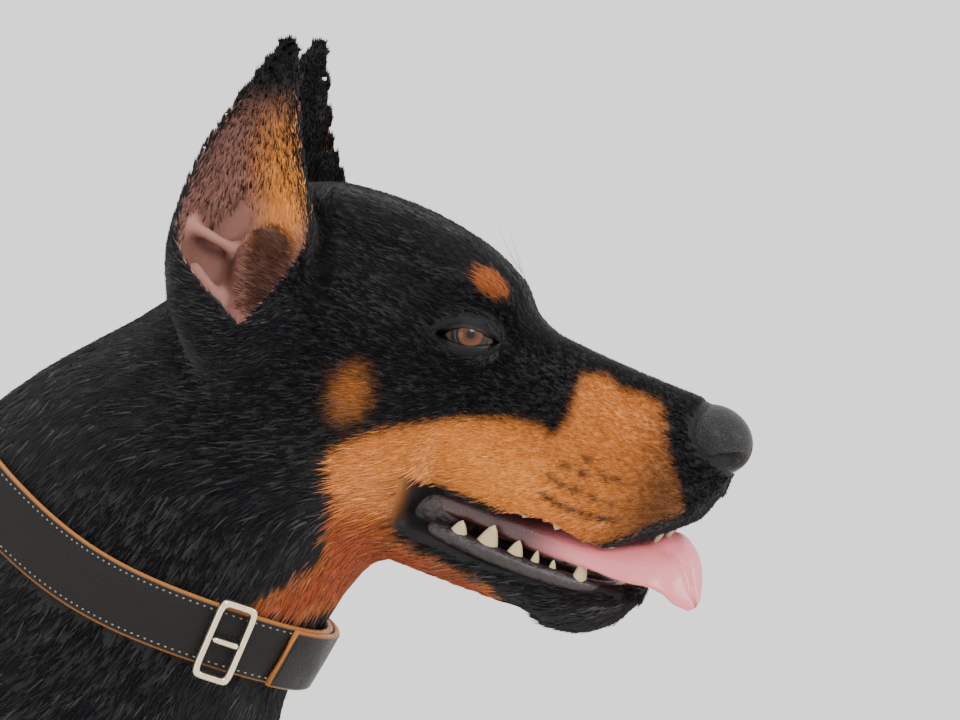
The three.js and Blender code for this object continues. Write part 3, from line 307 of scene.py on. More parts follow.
def flesh(p):
    """All the fields of the dog joined. Each is worked out only for the points near enough to feel it."""
    x, y, z = p.T
    s = np.abs(y)
    lag = np.where(y > 0, np.clip(1 - z / LAG_FROM, 0, 1), 0)
    middle, fore, rear = (np.stack([along, s, z], 1) for along in (x, x + FORE_LAG * lag, x - HIND_LAG * lag))
    d = np.full(len(p), 1e3)

    def add(near, reach, field, points):
        if near.any():
            d[near] = fillet(reach, d[near], field(points[near]))

    body = (x < 260) & (z < 780)
    add(body, 40, trunk, middle)
    add(body & (z < 730) & (x > -110), 30, foreleg, fore)
    add(body & (z < 200) & (x > -110), 16, fore_pastern, fore)
    add(body & (z < 110) & (x > -110), 10, forefoot, fore)
    add(body & (x < -200), 34, hindleg, rear)
    add(body & (x < -380) & (z < 340), 14, hind_pastern, rear)
    add(body & (x < -380) & (z < 110), 10, hindfoot, rear)
    add(body & (x < -400), 22, tail_stub, middle)
    add((z > 480) & (x > -60), 50, neck, middle)
    head = to_head(middle)
    on_head = (z > 640) & (x > 150)
    add(on_head, 16, head_field, head)
    add(on_head & (np.abs(head[:, 0] - EYEBALL[0]) < 40), 7, lid_mound, head)
    add(on_head & (head[:, 0] > 90), 2.5, nose_field, head)
    add(on_head & (z > EYE[2] - 70) & (x < EYE[0] - 30), 12, ear_field, middle)
    return d


nose_leather = mass([128, 0, -2.5], [18.3, 19.5, 16], -6)
nostril = limb([147, 9.5, -6], [135, 14, -7], 5.2, 3.4)
nostril_slit = limb([138, 16, -9.5], [124, 21.5, -13], 3.4, 2)
nose_groove = limb([147, 0, 6], [142, 0, -22], 1.1, 1.4)


def nose_field(h):
    """An ellipsoid of leather less two comma-shaped nostrils and the groove between them."""
    d = carve(2, nose_leather(h), nostril(h))
    return carve(1.5, carve(1, d, nostril_slit(h)), nose_groove(h))


CUBE = np.array([[i & 1, i >> 1 & 1, i >> 2] for i in range(8)])
CUBE_EDGES = [(a, a | bit) for a in range(8) for bit in (1, 2, 4) if not a & bit]


def field_surface(field, low, high, step, block=8):
    """The zero surface of a field. Blocks of cells far from it are skipped. Every crossed cell gets one vertex, at
    the mean of its edges' crossings and then moved along the slope onto the surface, and every crossed edge a face."""
    low = np.array(low, float)
    blocks = np.ceil((np.array(high) - low) / (step * block)).astype(int)
    index = np.stack(np.meshgrid(*map(np.arange, blocks), indexing="ij"), -1).reshape(-1, 3)
    reach = step * block
    middle = field(low + (index + 0.5) * reach)
    value = np.empty(blocks * block)
    shape = value.reshape(blocks[0], block, blocks[1], block, blocks[2], block).transpose(0, 2, 4, 1, 3, 5)
    shape[:] = middle.reshape(*blocks, 1, 1, 1)
    close = index[np.abs(middle) < reach * 1.6 + 6]
    inner = np.stack(np.meshgrid(*[np.arange(block)] * 3, indexing="ij"), -1).reshape(-1, 3)
    for part in np.array_split(close, max(1, len(close) // 300)):
        at = (part[:, None] * block + inner).reshape(-1, 3)
        value[tuple(at.T)] = field(low + at * step)
    inside = value < 0
    corners = np.stack([inside[c[0]:value.shape[0] - 1 + c[0], c[1]:value.shape[1] - 1 + c[1],
                               c[2]:value.shape[2] - 1 + c[2]] for c in CUBE], -1)
    count = corners.sum(-1)
    cells = np.argwhere((count > 0) & (count < 8))
    v = np.stack([value[tuple((cells + c).T)] for c in CUBE], 1)
    total, crossed = np.zeros((len(cells), 3)), np.zeros(len(cells))
    for a, b in CUBE_EDGES:
        cut = (v[:, a] < 0) != (v[:, b] < 0)
        t = np.where(cut, v[:, a] / np.where(cut, v[:, a] - v[:, b], 1), 0)
        total += cut[:, None] * (CUBE[a] + t[:, None] * (CUBE[b] - CUBE[a]))
        crossed += cut
    points = low + (cells + total / crossed[:, None]) * step
    for _ in range(2):
        slope = slope_of(field, points)
        points = points - slope * np.clip(field(points), -step / 2, step / 2)[:, None]
    number = np.full(count.shape, -1)
    number[tuple(cells.T)] = np.arange(len(cells))
    faces = []
    for axis in range(3):
        u, w = (axis + 1) % 3, (axis + 2) % 3
        ahead = np.moveaxis(inside, axis, 0)
        cut = np.moveaxis(ahead[:-1] != ahead[1:], 0, axis)
        at = np.argwhere(cut)
        at = at[(at[:, u] > 0) & (at[:, w] > 0) & (at < np.array(count.shape)).all(1)]
        du, dw = np.eye(3, dtype=int)[u], np.eye(3, dtype=int)[w]
        quad = np.stack([number[tuple((at - o).T)] for o in (0 * du, du, du + dw, dw)], 1)
        faces.append(np.where(inside[tuple(at.T)][:, None], quad, quad[:, ::-1]))
    return points, np.concatenate(faces)


def slope_of(field, points, reach=0.4):
    """Unit slope of a field at points, from differences either way along each axis."""
    sides = np.eye(3) * reach
    slope = np.stack([field(points + side) - field(points - side) for side in sides], 1)
    return slope / np.maximum(np.linalg.norm(slope, axis=1, keepdims=True), 1e-9)


# The skin lies the coat's depth inside the flesh, and head and body meet under the collar, which leans forward.
COAT_DEPTH, FLOOR_LEVEL = 1.3, 0.4
COLLAR_CENTRE = np.array([EYE[0] - 162, 0, EYE[2] - 106])
COLLAR_UP = np.array([0.511, 0, 0.86])
COLLAR_FRONT = np.array([0.86, 0, -0.511])
HEAD_STEP, BODY_STEP = ((2.2, 6.4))
COLLAR_SAG = 11


def above_collar(p):
    """Distance above the collar's mid surface, which sags at the sides."""
    offset = p - COLLAR_CENTRE
    across = np.hypot(offset[:, 1], offset @ COLLAR_FRONT)
    sag = COLLAR_SAG * (offset[:, 1] / np.maximum(across, 1)) ** 2
    return offset @ COLLAR_UP + sag


almond_over = curve((-11, 0), (-6, 3.6), (-1, 4.8), (5, 4), (10, 1.8), (14.5, 0))
almond_under = curve((-11, 0), (-4, 2.4), (3, 3.1), (9, 2), (14.5, 0))


def almond_axis(along):
    """The line through the corners of the eye, which rises towards the nose."""
    return 0.267 * (along + 11) - 4.2


def eye_slit(h):
    """Distance to the almond between the lids and a little more, carried straight out of the head, on both sides."""
    along, side, up = h[:, 0] - EYEBALL[0], np.abs(h[:, 1]), h[:, 2] - EYEBALL[2]
    over = up - almond_axis(along)
    edge = np.maximum(over - almond_over(along), -over - almond_under(along)) - 2.6
    return np.maximum(np.maximum(edge, np.abs(along - 1.75) - 14.6), EYEBALL[1] + 1 - side)


def head_skin(p):
    """Flesh shrunk by the coat's depth, with eye sockets and slits, down to a little below the collar's middle."""
    h = to_head(p)
    h[:, 1] = np.abs(h[:, 1])
    d = flesh(p) + COAT_DEPTH
    socket = np.linalg.norm(h - EYEBALL, axis=1) - EYEBALL_RADIUS - 0.4
    d = np.maximum(d, -np.minimum(socket, eye_slit(h)))
    return np.maximum(d, -above_collar(p) - 5)


def body_skin(p):
    """Flesh shrunk by the coat's depth, up to a little above the collar's middle, resting on the floor."""
    return np.maximum(flesh(p) + COAT_DEPTH, above_collar(p) - 5)


def body_floor(p):
    """The body's skin cut level at the floor."""
    return np.maximum(body_skin(p), FLOOR_LEVEL - p[:, 2])


head_points, head_faces = field_surface(head_skin, [40, -100, 640], [476, 100, 996], HEAD_STEP)
body_points, body_faces = field_surface(body_floor, [-584, -152, -12], [316, 152, 846], BODY_STEP)
skin_points = np.concatenate([head_points, body_points])
skin_faces = np.concatenate([head_faces, body_faces + len(head_points)])


def inside_outline(points, outline, soft):
    """1 inside a closed outline of (along, up) corners and 0 outside, fading over soft. Distance to the nearest side,
    with its sign from how many sides a level ray crosses."""
    outline = np.array(outline, float)
    nearest, crossings = np.full(len(points), 1e9), np.zeros(len(points), int)
    for a, b in zip(outline, np.roll(outline, -1, 0)):
        along, offset = b - a, points - a
        t = np.clip(offset @ along / (along @ along), 0, 1)
        nearest = np.minimum(nearest, np.linalg.norm(offset - t[:, None] * along, axis=1))
        level = (a[1] > points[:, 1]) != (b[1] > points[:, 1])
        rise = np.where(level, (points[:, 1] - a[1]) / (b[1] - a[1] + (a[1] == b[1])), 0)
        crossings += level & (points[:, 0] < a[0] + rise * along[0])
    signed = np.where(crossings % 2 == 1, -nearest, nearest)
    return 1 - smooth_step(signed, -soft, soft)


def spot(h, centre, size, soft=0.35):
    """1 within an ellipsoid round centre, fading out over the share soft of its size."""
    return 1 - smooth_step(np.linalg.norm((h - centre) / size, axis=1), 1 - soft, 1 + soft)


MUZZLE_RUST = [(-28, -77), (-23, -69), (-12, -57), (5, -45.5), (22, -36), (41, -29), (54, -27), (62, -29), (65, -19),
               (63, -5), (62, 2), (71, 5.5), (81, 3), (94, 5), (102, 3), (108, -6), (112, -13), (121, -24), (128, -34),
               (136, -48), (122, -58), (100, -71), (52, -75), (20, -84), (4, -97), (14, -103), (48, -105), (66, -107),
               (66, -125), (-5, -140), (-16, -153), (-34, -156), (-14, -124), (-19, -95)]
# Dark spots where the whiskers leave, and painted shade along the crease behind them, in the same side view.
WHISKER_SPOTS = [(80.8, -31.7), (72.4, -38.2), (81.2, -38.5), (91.6, -35.6), (68.7, -46.3), (74.5, -46.8),
                 (81.6, -46.8), (98.2, -34.3), (90.2, -46.7), (98.6, -46.1)]
LIP_CREASE_SHADE = [(67.2, -54.9), (74.3, -55.9), (81.4, -55.9), (87.8, -55.4), (94.1, -54.5), (99.6, -53.2), (105.0, -51.4)]
BLACK = np.array([0.0052, 0.0052, 0.0066])
RUST = np.array([0.46, 0.155, 0.033])
DARK_RUST_AND_SHADE = np.array([0.19, 0.036, 0.009])
BRIGHT_RUST = np.array([0.66, 0.25, 0.05])
LIP = np.array([0.008, 0.007, 0.008])
MOUTH_LINING = np.array([0.10, 0.022, 0.02])
EAR_SKIN = np.array([0.23, 0.105, 0.082])
EAR_FOLD_SKIN = np.array([0.42, 0.20, 0.165])
TRAGUS_HAIR = np.array([0.075, 0.032, 0.022])


def toward(values, others, share):
    """Rows of values moved towards others: values plus the share times the difference."""
    return values + share[:, None] * (others - values)


def ear_inside(p):
    """1 on the hollow side of an ear: nearer the middle of its arc than the arc itself."""
    level = np.clip(p[:, 2] - EYE[2], -34, 134)
    off = np.hypot(p[:, 0] - EYE[0] - ear_ahead(level), np.abs(p[:, 1]) - ear_side(level))
    within = 1 - smooth_step(off - ear_radius(level), -2.4, -0.6)
    return within * (level > -4) * (level < 133) * (p[:, 0] > EYE[0] - 140) * (p[:, 0] < EYE[0] - 55)


def markings(p):
    """Colour of the coat at points, and how bare the skin is there. Rust fills the breed's patches: an outline on the
    muzzle, cheek and throat in the head's side view, spots on cheek and brow, and bands of height on the legs."""
    h = to_head(p)
    h[:, 1] = np.abs(h[:, 1])
    along, side, up = h.T
    x, y, z = p[:, 0], np.abs(p[:, 1]), p[:, 2]
    head = ((z > 640) & (x > 150)).astype(float)
    bridge = smooth_step(up - skull_top(along), -9, -4) * (along > 40)
    rust = inside_outline(h[:, [0, 2]], MUZZLE_RUST, 3.2) * head * (1 - bridge)
    rust = np.maximum(rust, spot(h, [-28, 50, -44], [8.5, 20, 12], 0.8) * 0.55)
    brow = spot(h, [8, 27, 27], [8.5, 8, 7.5], 0.4)
    rust = np.maximum(rust, brow)
    colour = toward(BLACK, RUST, rust)
    # Painted highlight: the upper band of the muzzle's rust is made brighter, standing in for light falling from above.
    painted_highlight_band = np.exp(-((up + 52) / 16) ** 2) * smooth_step(along, -5, 30) * (1 - smooth_step(along, 60, 100)) * rust
    colour = toward(colour, BRIGHT_RUST, 0.6 * painted_highlight_band)
    # Painted shade: the rust under the head is darkened towards dark rust; the brow spot is also given some of this
    # darker rust.
    colour = toward(colour, DARK_RUST_AND_SHADE, np.maximum(smooth_step(-up, 78, 112) * rust * head, brow * 0.75))
    spots_and_crease_shade = np.zeros(len(p))
    for place in WHISKER_SPOTS:
        spots_and_crease_shade = np.maximum(spots_and_crease_shade, 0.85 * np.exp(-(((h[:, [0, 2]] - place) / [3.2, 1.8]) ** 2).sum(1)))
    # Painted shade: a dark line along the lip's crease.
    for a, b in zip(LIP_CREASE_SHADE, LIP_CREASE_SHADE[1:]):
        t = np.clip(((h[:, [0, 2]] - a) @ np.subtract(b, a)) / np.sum(np.subtract(b, a) ** 2), 0, 1)
        off = np.linalg.norm(h[:, [0, 2]] - a - t[:, None] * np.subtract(b, a), axis=1)
        spots_and_crease_shade = np.maximum(spots_and_crease_shade, 0.9 * np.exp(-(off / 1.5) ** 2))
    grizzle_and_crease_shade = np.maximum(smooth_step(along, 88, 122) * rust * 0.72, spots_and_crease_shade * head * (along > 50))
    colour = toward(colour, BLACK * 2.2, grizzle_and_crease_shade)

    lag = np.where(p[:, 1] > 0, np.clip(1 - z / LAG_FROM, 0, 1), 0)
    front = x > -150
    fore = front * (1 - smooth_step(z, 170, 215 + 60 * (y < 84)))
    rear_x = x - HIND_LAG * lag
    shin = smooth_step(rear_x + 512 - 0.806 * (z - 188), 4, 18) * (1 - smooth_step(z, 240, 330))
    inside = (1 - smooth_step(y, 58, 72)) * (1 - smooth_step(z, 300, 370)) * (x < -300)
    rear = ~front * np.maximum(1 - smooth_step(z, 120, 160), np.maximum(shin, inside))
    thumb = smooth_step(z, 22, 30) * (1 - smooth_step(z, 44, 56)) * 0.45
    legs = np.maximum(fore, rear) * (z < 420) * (1 - thumb)
    chest = np.linalg.norm((np.stack([x, y - 0.3 * (z - 520), z], 1) - [196, 34, 516]) / [60, 15, 27], axis=1)
    under_tail = np.linalg.norm((p - [-512, 0, 596]) / [26, 26, 34], axis=1)
    body = np.maximum(legs, np.maximum(1 - smooth_step(chest, 0.6, 1.3), 1 - smooth_step(under_tail, 0.8, 1.1)))
    colour = toward(colour, RUST * 0.8, body * (1 - head))

    hollow = ear_inside(p)
    height = z - EYE[2]
    mirrored, ear_at = np.stack([x, y, z], 1), np.stack([x - EYE[0], y, height], 1)
    orange = spot(ear_at, [-80, 48, 72], [17, 26, 34], 0.5)
    inner = toward(EAR_SKIN, BRIGHT_RUST, orange)
    inner = toward(inner, BLACK, smooth_step(height, 98, 116))
    # Painted shade: a dark spot deep in the ear's hollow, at the canal.
    inner = toward(inner, BLACK, spot(ear_at, [-97, 36, 24], [9, 12, 15], 0.6))
    inner = toward(inner, EAR_FOLD_SKIN, 0.75 * (1 - smooth_step(ear_folds(mirrored), 0.5, 2.5)))
    tragus = (1 - smooth_step(ear_lump(mirrored), 1, 7)) * smooth_step(x, EYE[0] - 98, EYE[0] - 88)
    inner = toward(inner, TRAGUS_HAIR, tragus)
    colour = toward(colour, inner, hollow)

    edge = up - skull_under(along)
    lip = (1 - smooth_step(edge, 8.4, 10.6)) * (along > 8) * (up > -84)
    lower_lip = smooth_step(up - jaw_top(along), -14, -6) * smooth_step(along, 0, 12) * (up < -72)
    chin = smooth_step(along, 84, 96) * (up < -74)
    lips = np.maximum(np.maximum(lip, lower_lip), chin) * head * (1 - smooth_step(along, 140, 146))
    colour = toward(colour, LIP, lips)
    lining = (np.minimum(mouth_roof(h), mouth_floor(h)) < 1.6) * head
    colour = toward(colour, MOUTH_LINING, lining)
    rim = 1 - smooth_step(np.linalg.norm((h - EYEBALL - [0, 9, 0]) / [16, 9, 9], axis=1), 0.75, 1.0)
    colour = toward(colour, LIP, rim)
    bare_lip = np.maximum(lip * (edge < 5.5), lower_lip * 0.85) * head * (along < 118)
    bare = np.max([lining, bare_lip, hollow * (1 - orange) * (1 - tragus) * 0.55, rim], axis=0)
    return np.clip(colour, 0, 1), bare


def mesh_object(name, points, faces, material, uv=None, smooth=True, **attributes):
    """A mesh of points in millimetres and faces, in one material, with a value or a colour to each point, on the dog's
    one body."""
    mesh = bpy.data.meshes.new(name)
    faces = np.asarray(faces)
    size = faces.shape[1]
    mesh.vertices.add(len(points))
    mesh.vertices.foreach_set("co", to_scene(points).astype(np.float32).ravel())
    mesh.loops.add(faces.size)
    mesh.loops.foreach_set("vertex_index", faces.astype(np.int32).ravel())
    mesh.polygons.add(len(faces))
    mesh.polygons.foreach_set("loop_start", np.arange(0, faces.size, size, dtype=np.int32))
    mesh.polygons.foreach_set("use_smooth", np.full(len(faces), smooth))
    mesh.update(calc_edges=True)
    for key, values in attributes.items():
        kind, field = ("FLOAT", "value") if values.ndim == 1 else ("FLOAT_COLOR", "color")
        values = values if values.ndim == 1 else np.c_[values, np.ones(len(values))]
        mesh.attributes.new(key, kind, "POINT").data.foreach_set(field, values.astype(np.float32).ravel())
    if uv is not None:
        mesh.uv_layers.new(name="OFBake").data.foreach_set("uv", uv[faces.ravel()].astype(np.float32).ravel())
    mesh.materials.append(material)
    piece = bpy.data.objects.new(name, mesh)
    bpy.context.scene.collection.objects.link(piece)
    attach(piece, "root")
    return piece


def new_material(name, roughness, **sockets):
    """A Principled material with constant sockets set by name. Returns it, its nodes, its links and the shader."""
    material = bpy.data.materials.new(name)
    material.use_nodes = True
    nodes, links = material.node_tree.nodes, material.node_tree.links
    shader = nodes["Principled BSDF"]
    shader.inputs["Roughness"].default_value = roughness
    for key, value in sockets.items():
        shader.inputs[key.replace("_", " ").title().replace("Ior", "IOR")].default_value = value
    return material, nodes, links, shader


def make_group(name, inputs, outputs):
    """An empty shader node group with named float or colour sockets."""
    group = bpy.data.node_groups.new(name, "ShaderNodeTree")
    for key, kind, value in inputs:
        socket = group.interface.new_socket(key, in_out="INPUT", socket_type=kind)
        socket.default_value = value
    for key, kind in outputs:
        group.interface.new_socket(key, in_out="OUTPUT", socket_type=kind)
    return group, group.nodes.new("NodeGroupInput"), group.nodes.new("NodeGroupOutput"), group.nodes, group.links


def place_group(nodes, group, **values):
    """A node of the group with its own values."""
    node = nodes.new("ShaderNodeGroup")
    node.node_tree = group
    for key, value in values.items():
        node.inputs[key.replace("_", " ").capitalize()].default_value = value
    return node


def feed(links, socket, value):
    """A number is set on the socket, and anything else is linked to it."""
    if isinstance(value, (int, float)):
        socket.default_value = value
    else:
        links.new(value, socket)


def math_node(nodes, links, operation, *values):
    """One arithmetic node, fed with its values."""
    node = nodes.new("ShaderNodeMath")
    node.operation = operation
    for socket, value in zip(node.inputs, values):
        feed(links, socket, value)
    return node.outputs[0]


def attribute(nodes, name):
    """A node that reads one of the mesh's attributes."""
    node = nodes.new("ShaderNodeAttribute")
    node.attribute_name = name
    return node


def add_bump(nodes, links, shader, height, distance, strength):
    """A Bump node from a height to the shader's normal."""
    bump = nodes.new("ShaderNodeBump")
    bump.inputs["Distance"].default_value = distance
    feed(links, bump.inputs["Strength"], strength)
    links.new(height, bump.inputs["Height"])
    links.new(bump.outputs["Normal"], shader.inputs["Normal"])


# Fine strokes of short hair: noise drawn out along the lie, which the skin stores, and finer noise over it.
strokes, strokes_in, strokes_out, nodes, links = make_group(
    "hair_strokes", [("Scale", "NodeSocketFloat", 900), ("Stretch", "NodeSocketFloat", 0.12)],
    [("Height", "NodeSocketFloat"), ("Streak", "NodeSocketFloat")])
where, lie = nodes.new("ShaderNodeTexCoord"), attribute(nodes, "lie")
dot, along_lie, squashed = (nodes.new("ShaderNodeVectorMath") for _ in range(3))
dot.operation, along_lie.operation, squashed.operation = "DOT_PRODUCT", "SCALE", "SUBTRACT"
links.new(where.outputs["Object"], dot.inputs[0])
links.new(lie.outputs["Vector"], dot.inputs[1])
share = math_node(nodes, links, "SUBTRACT", 1.0, strokes_in.outputs["Stretch"])
links.new(lie.outputs["Vector"], along_lie.inputs[0])
links.new(math_node(nodes, links, "MULTIPLY", dot.outputs["Value"], share), along_lie.inputs["Scale"])
links.new(where.outputs["Object"], squashed.inputs[0])
links.new(along_lie.outputs[0], squashed.inputs[1])
fine, broad = nodes.new("ShaderNodeTexNoise"), nodes.new("ShaderNodeTexNoise")
for noise, share_of in ((fine, 1.0), (broad, 0.16)):
    links.new(squashed.outputs[0], noise.inputs["Vector"])
    links.new(math_node(nodes, links, "MULTIPLY", strokes_in.outputs["Scale"], share_of), noise.inputs["Scale"])
    noise.inputs["Detail"].default_value = 3
links.new(fine.outputs["Fac"], strokes_out.inputs["Height"])
links.new(broad.outputs["Fac"], strokes_out.inputs["Streak"])

skin_material, nodes, links, shader = new_material("dog_skin", 0.5, specular_ior_level=0.2)
paint, bare_mask = attribute(nodes, "paint"), attribute(nodes, "bare")
hair = place_group(nodes, strokes, scale=1100, stretch=0.12)
shade, tone = nodes.new("ShaderNodeMix"), nodes.new("ShaderNodeMapRange")
shade.data_type, shade.blend_type = "RGBA", "MULTIPLY"
shade.inputs["Factor"].default_value = 1
tone.inputs["To Min"].default_value, tone.inputs["To Max"].default_value = 0.55, 1.35
links.new(hair.outputs["Streak"], tone.inputs["Value"])
links.new(paint.outputs["Color"], shade.inputs["A"])
links.new(tone.outputs["Result"], shade.inputs["B"])
links.new(shade.outputs["Result"], shader.inputs["Base Color"])
links.new(math_node(nodes, links, "MULTIPLY_ADD", bare_mask.outputs["Fac"], -0.22, 0.5), shader.inputs["Roughness"])
hair_strength = math_node(nodes, links, "MULTIPLY_ADD", bare_mask.outputs["Fac"], -0.6, 0.8)
add_bump(nodes, links, shader, hair.outputs["Height"], 0.0006, hair_strength)


def lie_of(p, normal):
    """Which way the coat lies: back along the head, up the ears, down the neck and legs and back along the trunk,
    laid flat on the surface."""
    x, _, z = p.T
    head = smooth_step(above_collar(p), 40, 90)
    flow = np.stack([np.full(len(p), -0.62), np.zeros(len(p)), np.full(len(p), -0.78)], 1)
    trunk_share = (1 - smooth_step(z, 640, 760)) * smooth_step(-x, -190, -60)
    flow = toward(flow, np.array([-0.93, 0, -0.37]), trunk_share)
    flow = toward(flow, np.array([-0.12, 0, -1]), 1 - smooth_step(z, 330, 460))
    h = to_head(p)
    back = -AHEAD + UPRIGHT * (-0.45 * smooth_step(-h[:, 2], 5, 60))[:, None]
    back = back + np.outer(np.sign(h[:, 1]) * 0.25 * smooth_step(h[:, 2], -10, 20), [0, 1, 0])
    flow = toward(flow, back, head)
    ear = smooth_step(z - EYE[2], 25, 60) * (x < EYE[0] - 58) * (x > EYE[0] - 150)
    flow = toward(flow, np.array([0.15, 0, 1.0]), ear)
    flow = flow - normal * (flow * normal).sum(1, keepdims=True)
    return flow / np.maximum(np.linalg.norm(flow, axis=1, keepdims=True), 1e-6)


skin_normals = slope_of(flesh, skin_points, 1.2)
paint_colour, bareness = markings(skin_points)
skin = mesh_object("skin", skin_points, skin_faces, skin_material, bare=bareness, paint=paint_colour,
                   lie=lie_of(skin_points, skin_normals))
HANDS = ("right", "left")
FLESH_NODES = ["head", "lower_jaw", "ear_right", "ear_left", "neck", "torso", "tail"]
FLESH_NODES += [f"{limb_part}_{hand}" for limb_part in ("foreleg_upper", "foreleg_lower", "hindleg_upper",
                                                        "hindleg_lower", "forepaw", "hindpaw") for hand in HANDS]
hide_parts(*FLESH_NODES)


# Coat: short hair lying close, in clumps that break the outline, from 2 mm on the ears to 11 mm on the back. Each tuft
# is a thin closed sliver of four faces rooted in the skin, with the skin's colour there and a patch of its unwrap.
def copies(faces, count, points):
    """The faces of count like pieces, each with so many points."""
    return (faces + points * np.arange(count)[:, None, None]).reshape(-1, faces.shape[1])


def unwrap(p):
    """The skin's own shape laid out flat: for each region, its turn about and its distance along the region's axis,
    in a cell of a four by three sheet of its own."""
    x, y, z = p.T
    h, side, high = to_head(p), (p[:, 1] > 0).astype(int), above_collar(p)
    level = z - EYE[2]
    is_ear = (level > 20) & (x < EYE[0] - 52) & (np.abs(y) > 14) & (x > EYE[0] - 150)
    is_head, is_neck = high > 105, (high > -120) & (x > 20)
    is_leg, is_tail, rear = (z < 440) & (np.abs(y) > 30), x < -480, x < -150
    middle = np.where(rear, curve((0, -470), (190, -512), (420, -350))(z), 8.0)
    cell = np.select([is_ear, is_head, is_neck, is_leg, is_tail], [side, 2, 3, 4 + side + 2 * rear, 9], 8)
    turn = np.select([is_ear, is_head, is_neck, is_leg, is_tail], [
        np.arctan2(np.abs(y) - ear_side(level), x - EYE[0] - ear_ahead(level)), np.arctan2(y, h[:, 2] + 35),
        np.arctan2(y, (p - COLLAR_CENTRE) @ COLLAR_FRONT), np.arctan2(np.abs(y) - 82, x - middle),
        np.arctan2(y, z - 640)], np.arctan2(y, z - 540))
    along = np.select([is_ear, is_head, is_neck, is_leg, is_tail], [
        (level - 20) / 120, (h[:, 0] + 130) / 280, (high + 120) / 240, z / 450, (x + 580) / 110], (x + 560) / 820)
    local = np.stack([turn / (2 * math.pi) + 0.5, np.clip(along, 0, 1)], 1) * 0.96 + 0.02
    return (np.stack([cell % 4, cell // 4], 1) + local) / [4, 3]


def hair_length(p):
    """Length of a tuft by region: short on muzzle, ears and feet, longer over cheek, neck and back."""
    h = to_head(p)
    on_head = smooth_step(above_collar(p), 60, 130)
    length = 8.5 + 2.5 * smooth_step(-p[:, 0], -160, 0) - 4.5 * (1 - smooth_step(p[:, 2], 150, 420))
    length = length - 1.5 * (1 - smooth_step(p[:, 2], 60, 110))
    face = 4.6 - 2.2 * smooth_step(h[:, 0], -40, 60)
    length = length + on_head * (face - length)
    on_ear = (p[:, 2] > EYE[2] + 30) & (p[:, 0] < EYE[0] - 55)
    return np.where(on_ear, 3.2 - 1.2 * smooth_step(p[:, 2] - EYE[2], 70, 115), length)


def coat_density(p):
    """Tufts to the square millimetre: enough for their slivers to cover the skin about once."""
    return np.clip(9.5 / hair_length(p) ** 1.75, 0.05, 1.3)


STRAP_BALD = 16.5
rng = np.random.default_rng(11)
corner = skin_points[skin_faces]
face_middle = corner.mean(1)
face_area = np.linalg.norm(np.cross(corner[:, 2] - corner[:, 0], corner[:, 3] - corner[:, 1]), axis=1) / 2
face_head = to_head(face_middle)
face_bare = bareness[skin_faces].mean(1)
bald = (face_bare > 0.5) | (np.abs(above_collar(face_middle)) < STRAP_BALD) | (face_middle[:, 2] < 2.5)
bald |= (nose_leather(face_head) < 1.6) & (face_head[:, 0] > 108)
bald |= (np.minimum(mouth_roof(face_head), mouth_floor(face_head)) < 1.2) & (face_middle[:, 2] > 640)
wanted = face_area * coat_density(face_middle) * (1 - face_bare) * ~bald * 1.0
root_face = np.repeat(np.arange(len(skin_faces)), rng.poisson(wanted))
s, t = rng.random((2, len(root_face), 1))
weights = np.stack([(1 - s) * (1 - t), s * (1 - t), s * t, (1 - s) * t], 1)
tuft_root, tuft_normal = ((values[skin_faces[root_face]] * weights).sum(1) for values in (skin_points, skin_normals))
tuft_paint = markings(tuft_root + rng.normal(0, 1.1, tuft_root.shape) * (tuft_root[:, 2:] > 640))[0]
tuft_normal /= np.linalg.norm(tuft_normal, axis=1, keepdims=True)
tuft_lie = lie_of(tuft_root, tuft_normal)
tuft_side = np.cross(tuft_normal, tuft_lie)
tuft_lie = tuft_lie + tuft_side * rng.normal(0, 0.16, (len(s), 1))
length = hair_length(tuft_root)[:, None] * rng.uniform(0.75, 1.25, (len(s), 1))
ear_fringe = (tuft_root[:, 2:] > EYE[2] + 30) & (tuft_root[:, :1] < EYE[0] - 55)
width = 0.16 * length * rng.uniform(0.7, 1.2, (len(s), 1)) + 0.12
lift = COAT_DEPTH * rng.uniform(0.35, 1.05, (len(s), 1)) + 0.3 * ear_fringe * rng.random((len(s), 1))
shade_of = rng.normal(1, 0.2, (len(s), 1)).clip(0.5, 1.7)
tuft_tint = np.clip(tuft_paint * shade_of + (rng.random((len(s), 1)) < 0.12) * 0.02, 0, 1)
low_root = tuft_root - tuft_normal * 0.25
tuft_corners = np.stack([low_root - tuft_side * width / 2, low_root + tuft_side * width / 2,
                         low_root + tuft_normal * (0.3 * width + 0.35),
                         tuft_root + tuft_lie * length + tuft_normal * lift], 1)
tuft_corners[..., 2] = np.maximum(tuft_corners[..., 2], FLOOR_LEVEL)
TUFT_FACES = np.array([[0, 2, 3], [2, 1, 3], [1, 0, 3], [0, 1, 2]])
TUFT_PATCH = 0.0028
tuft_uv = unwrap(tuft_root)[:, None] + TUFT_PATCH * np.array([[0, 0], [1, 0], [0, 1], [1, 1]])

coat_material, nodes, links, shader = new_material("coat_hair", 0.36, specular_ior_level=0.17)
links.new(attribute(nodes, "paint").outputs["Color"], shader.inputs["Base Color"])
height_band = np.digitize(tuft_root[:, 2], [120, 430, 640]) + 10 * (above_collar(tuft_root) > 0)
order = np.lexsort((rng.random(len(s)), height_band))
COAT_PIECE = 48000
for number, start in enumerate(range(0, len(order), COAT_PIECE)):
    picked = order[start:start + COAT_PIECE]
    faces = copies(TUFT_FACES, len(picked), 4)
    coat = mesh_object(f"coat_{number + 1}", tuft_corners[picked].reshape(-1, 3), faces, coat_material,
                       uv=tuft_uv[picked].reshape(-1, 2), smooth=False, paint=np.repeat(tuft_tint[picked], 4, 0))


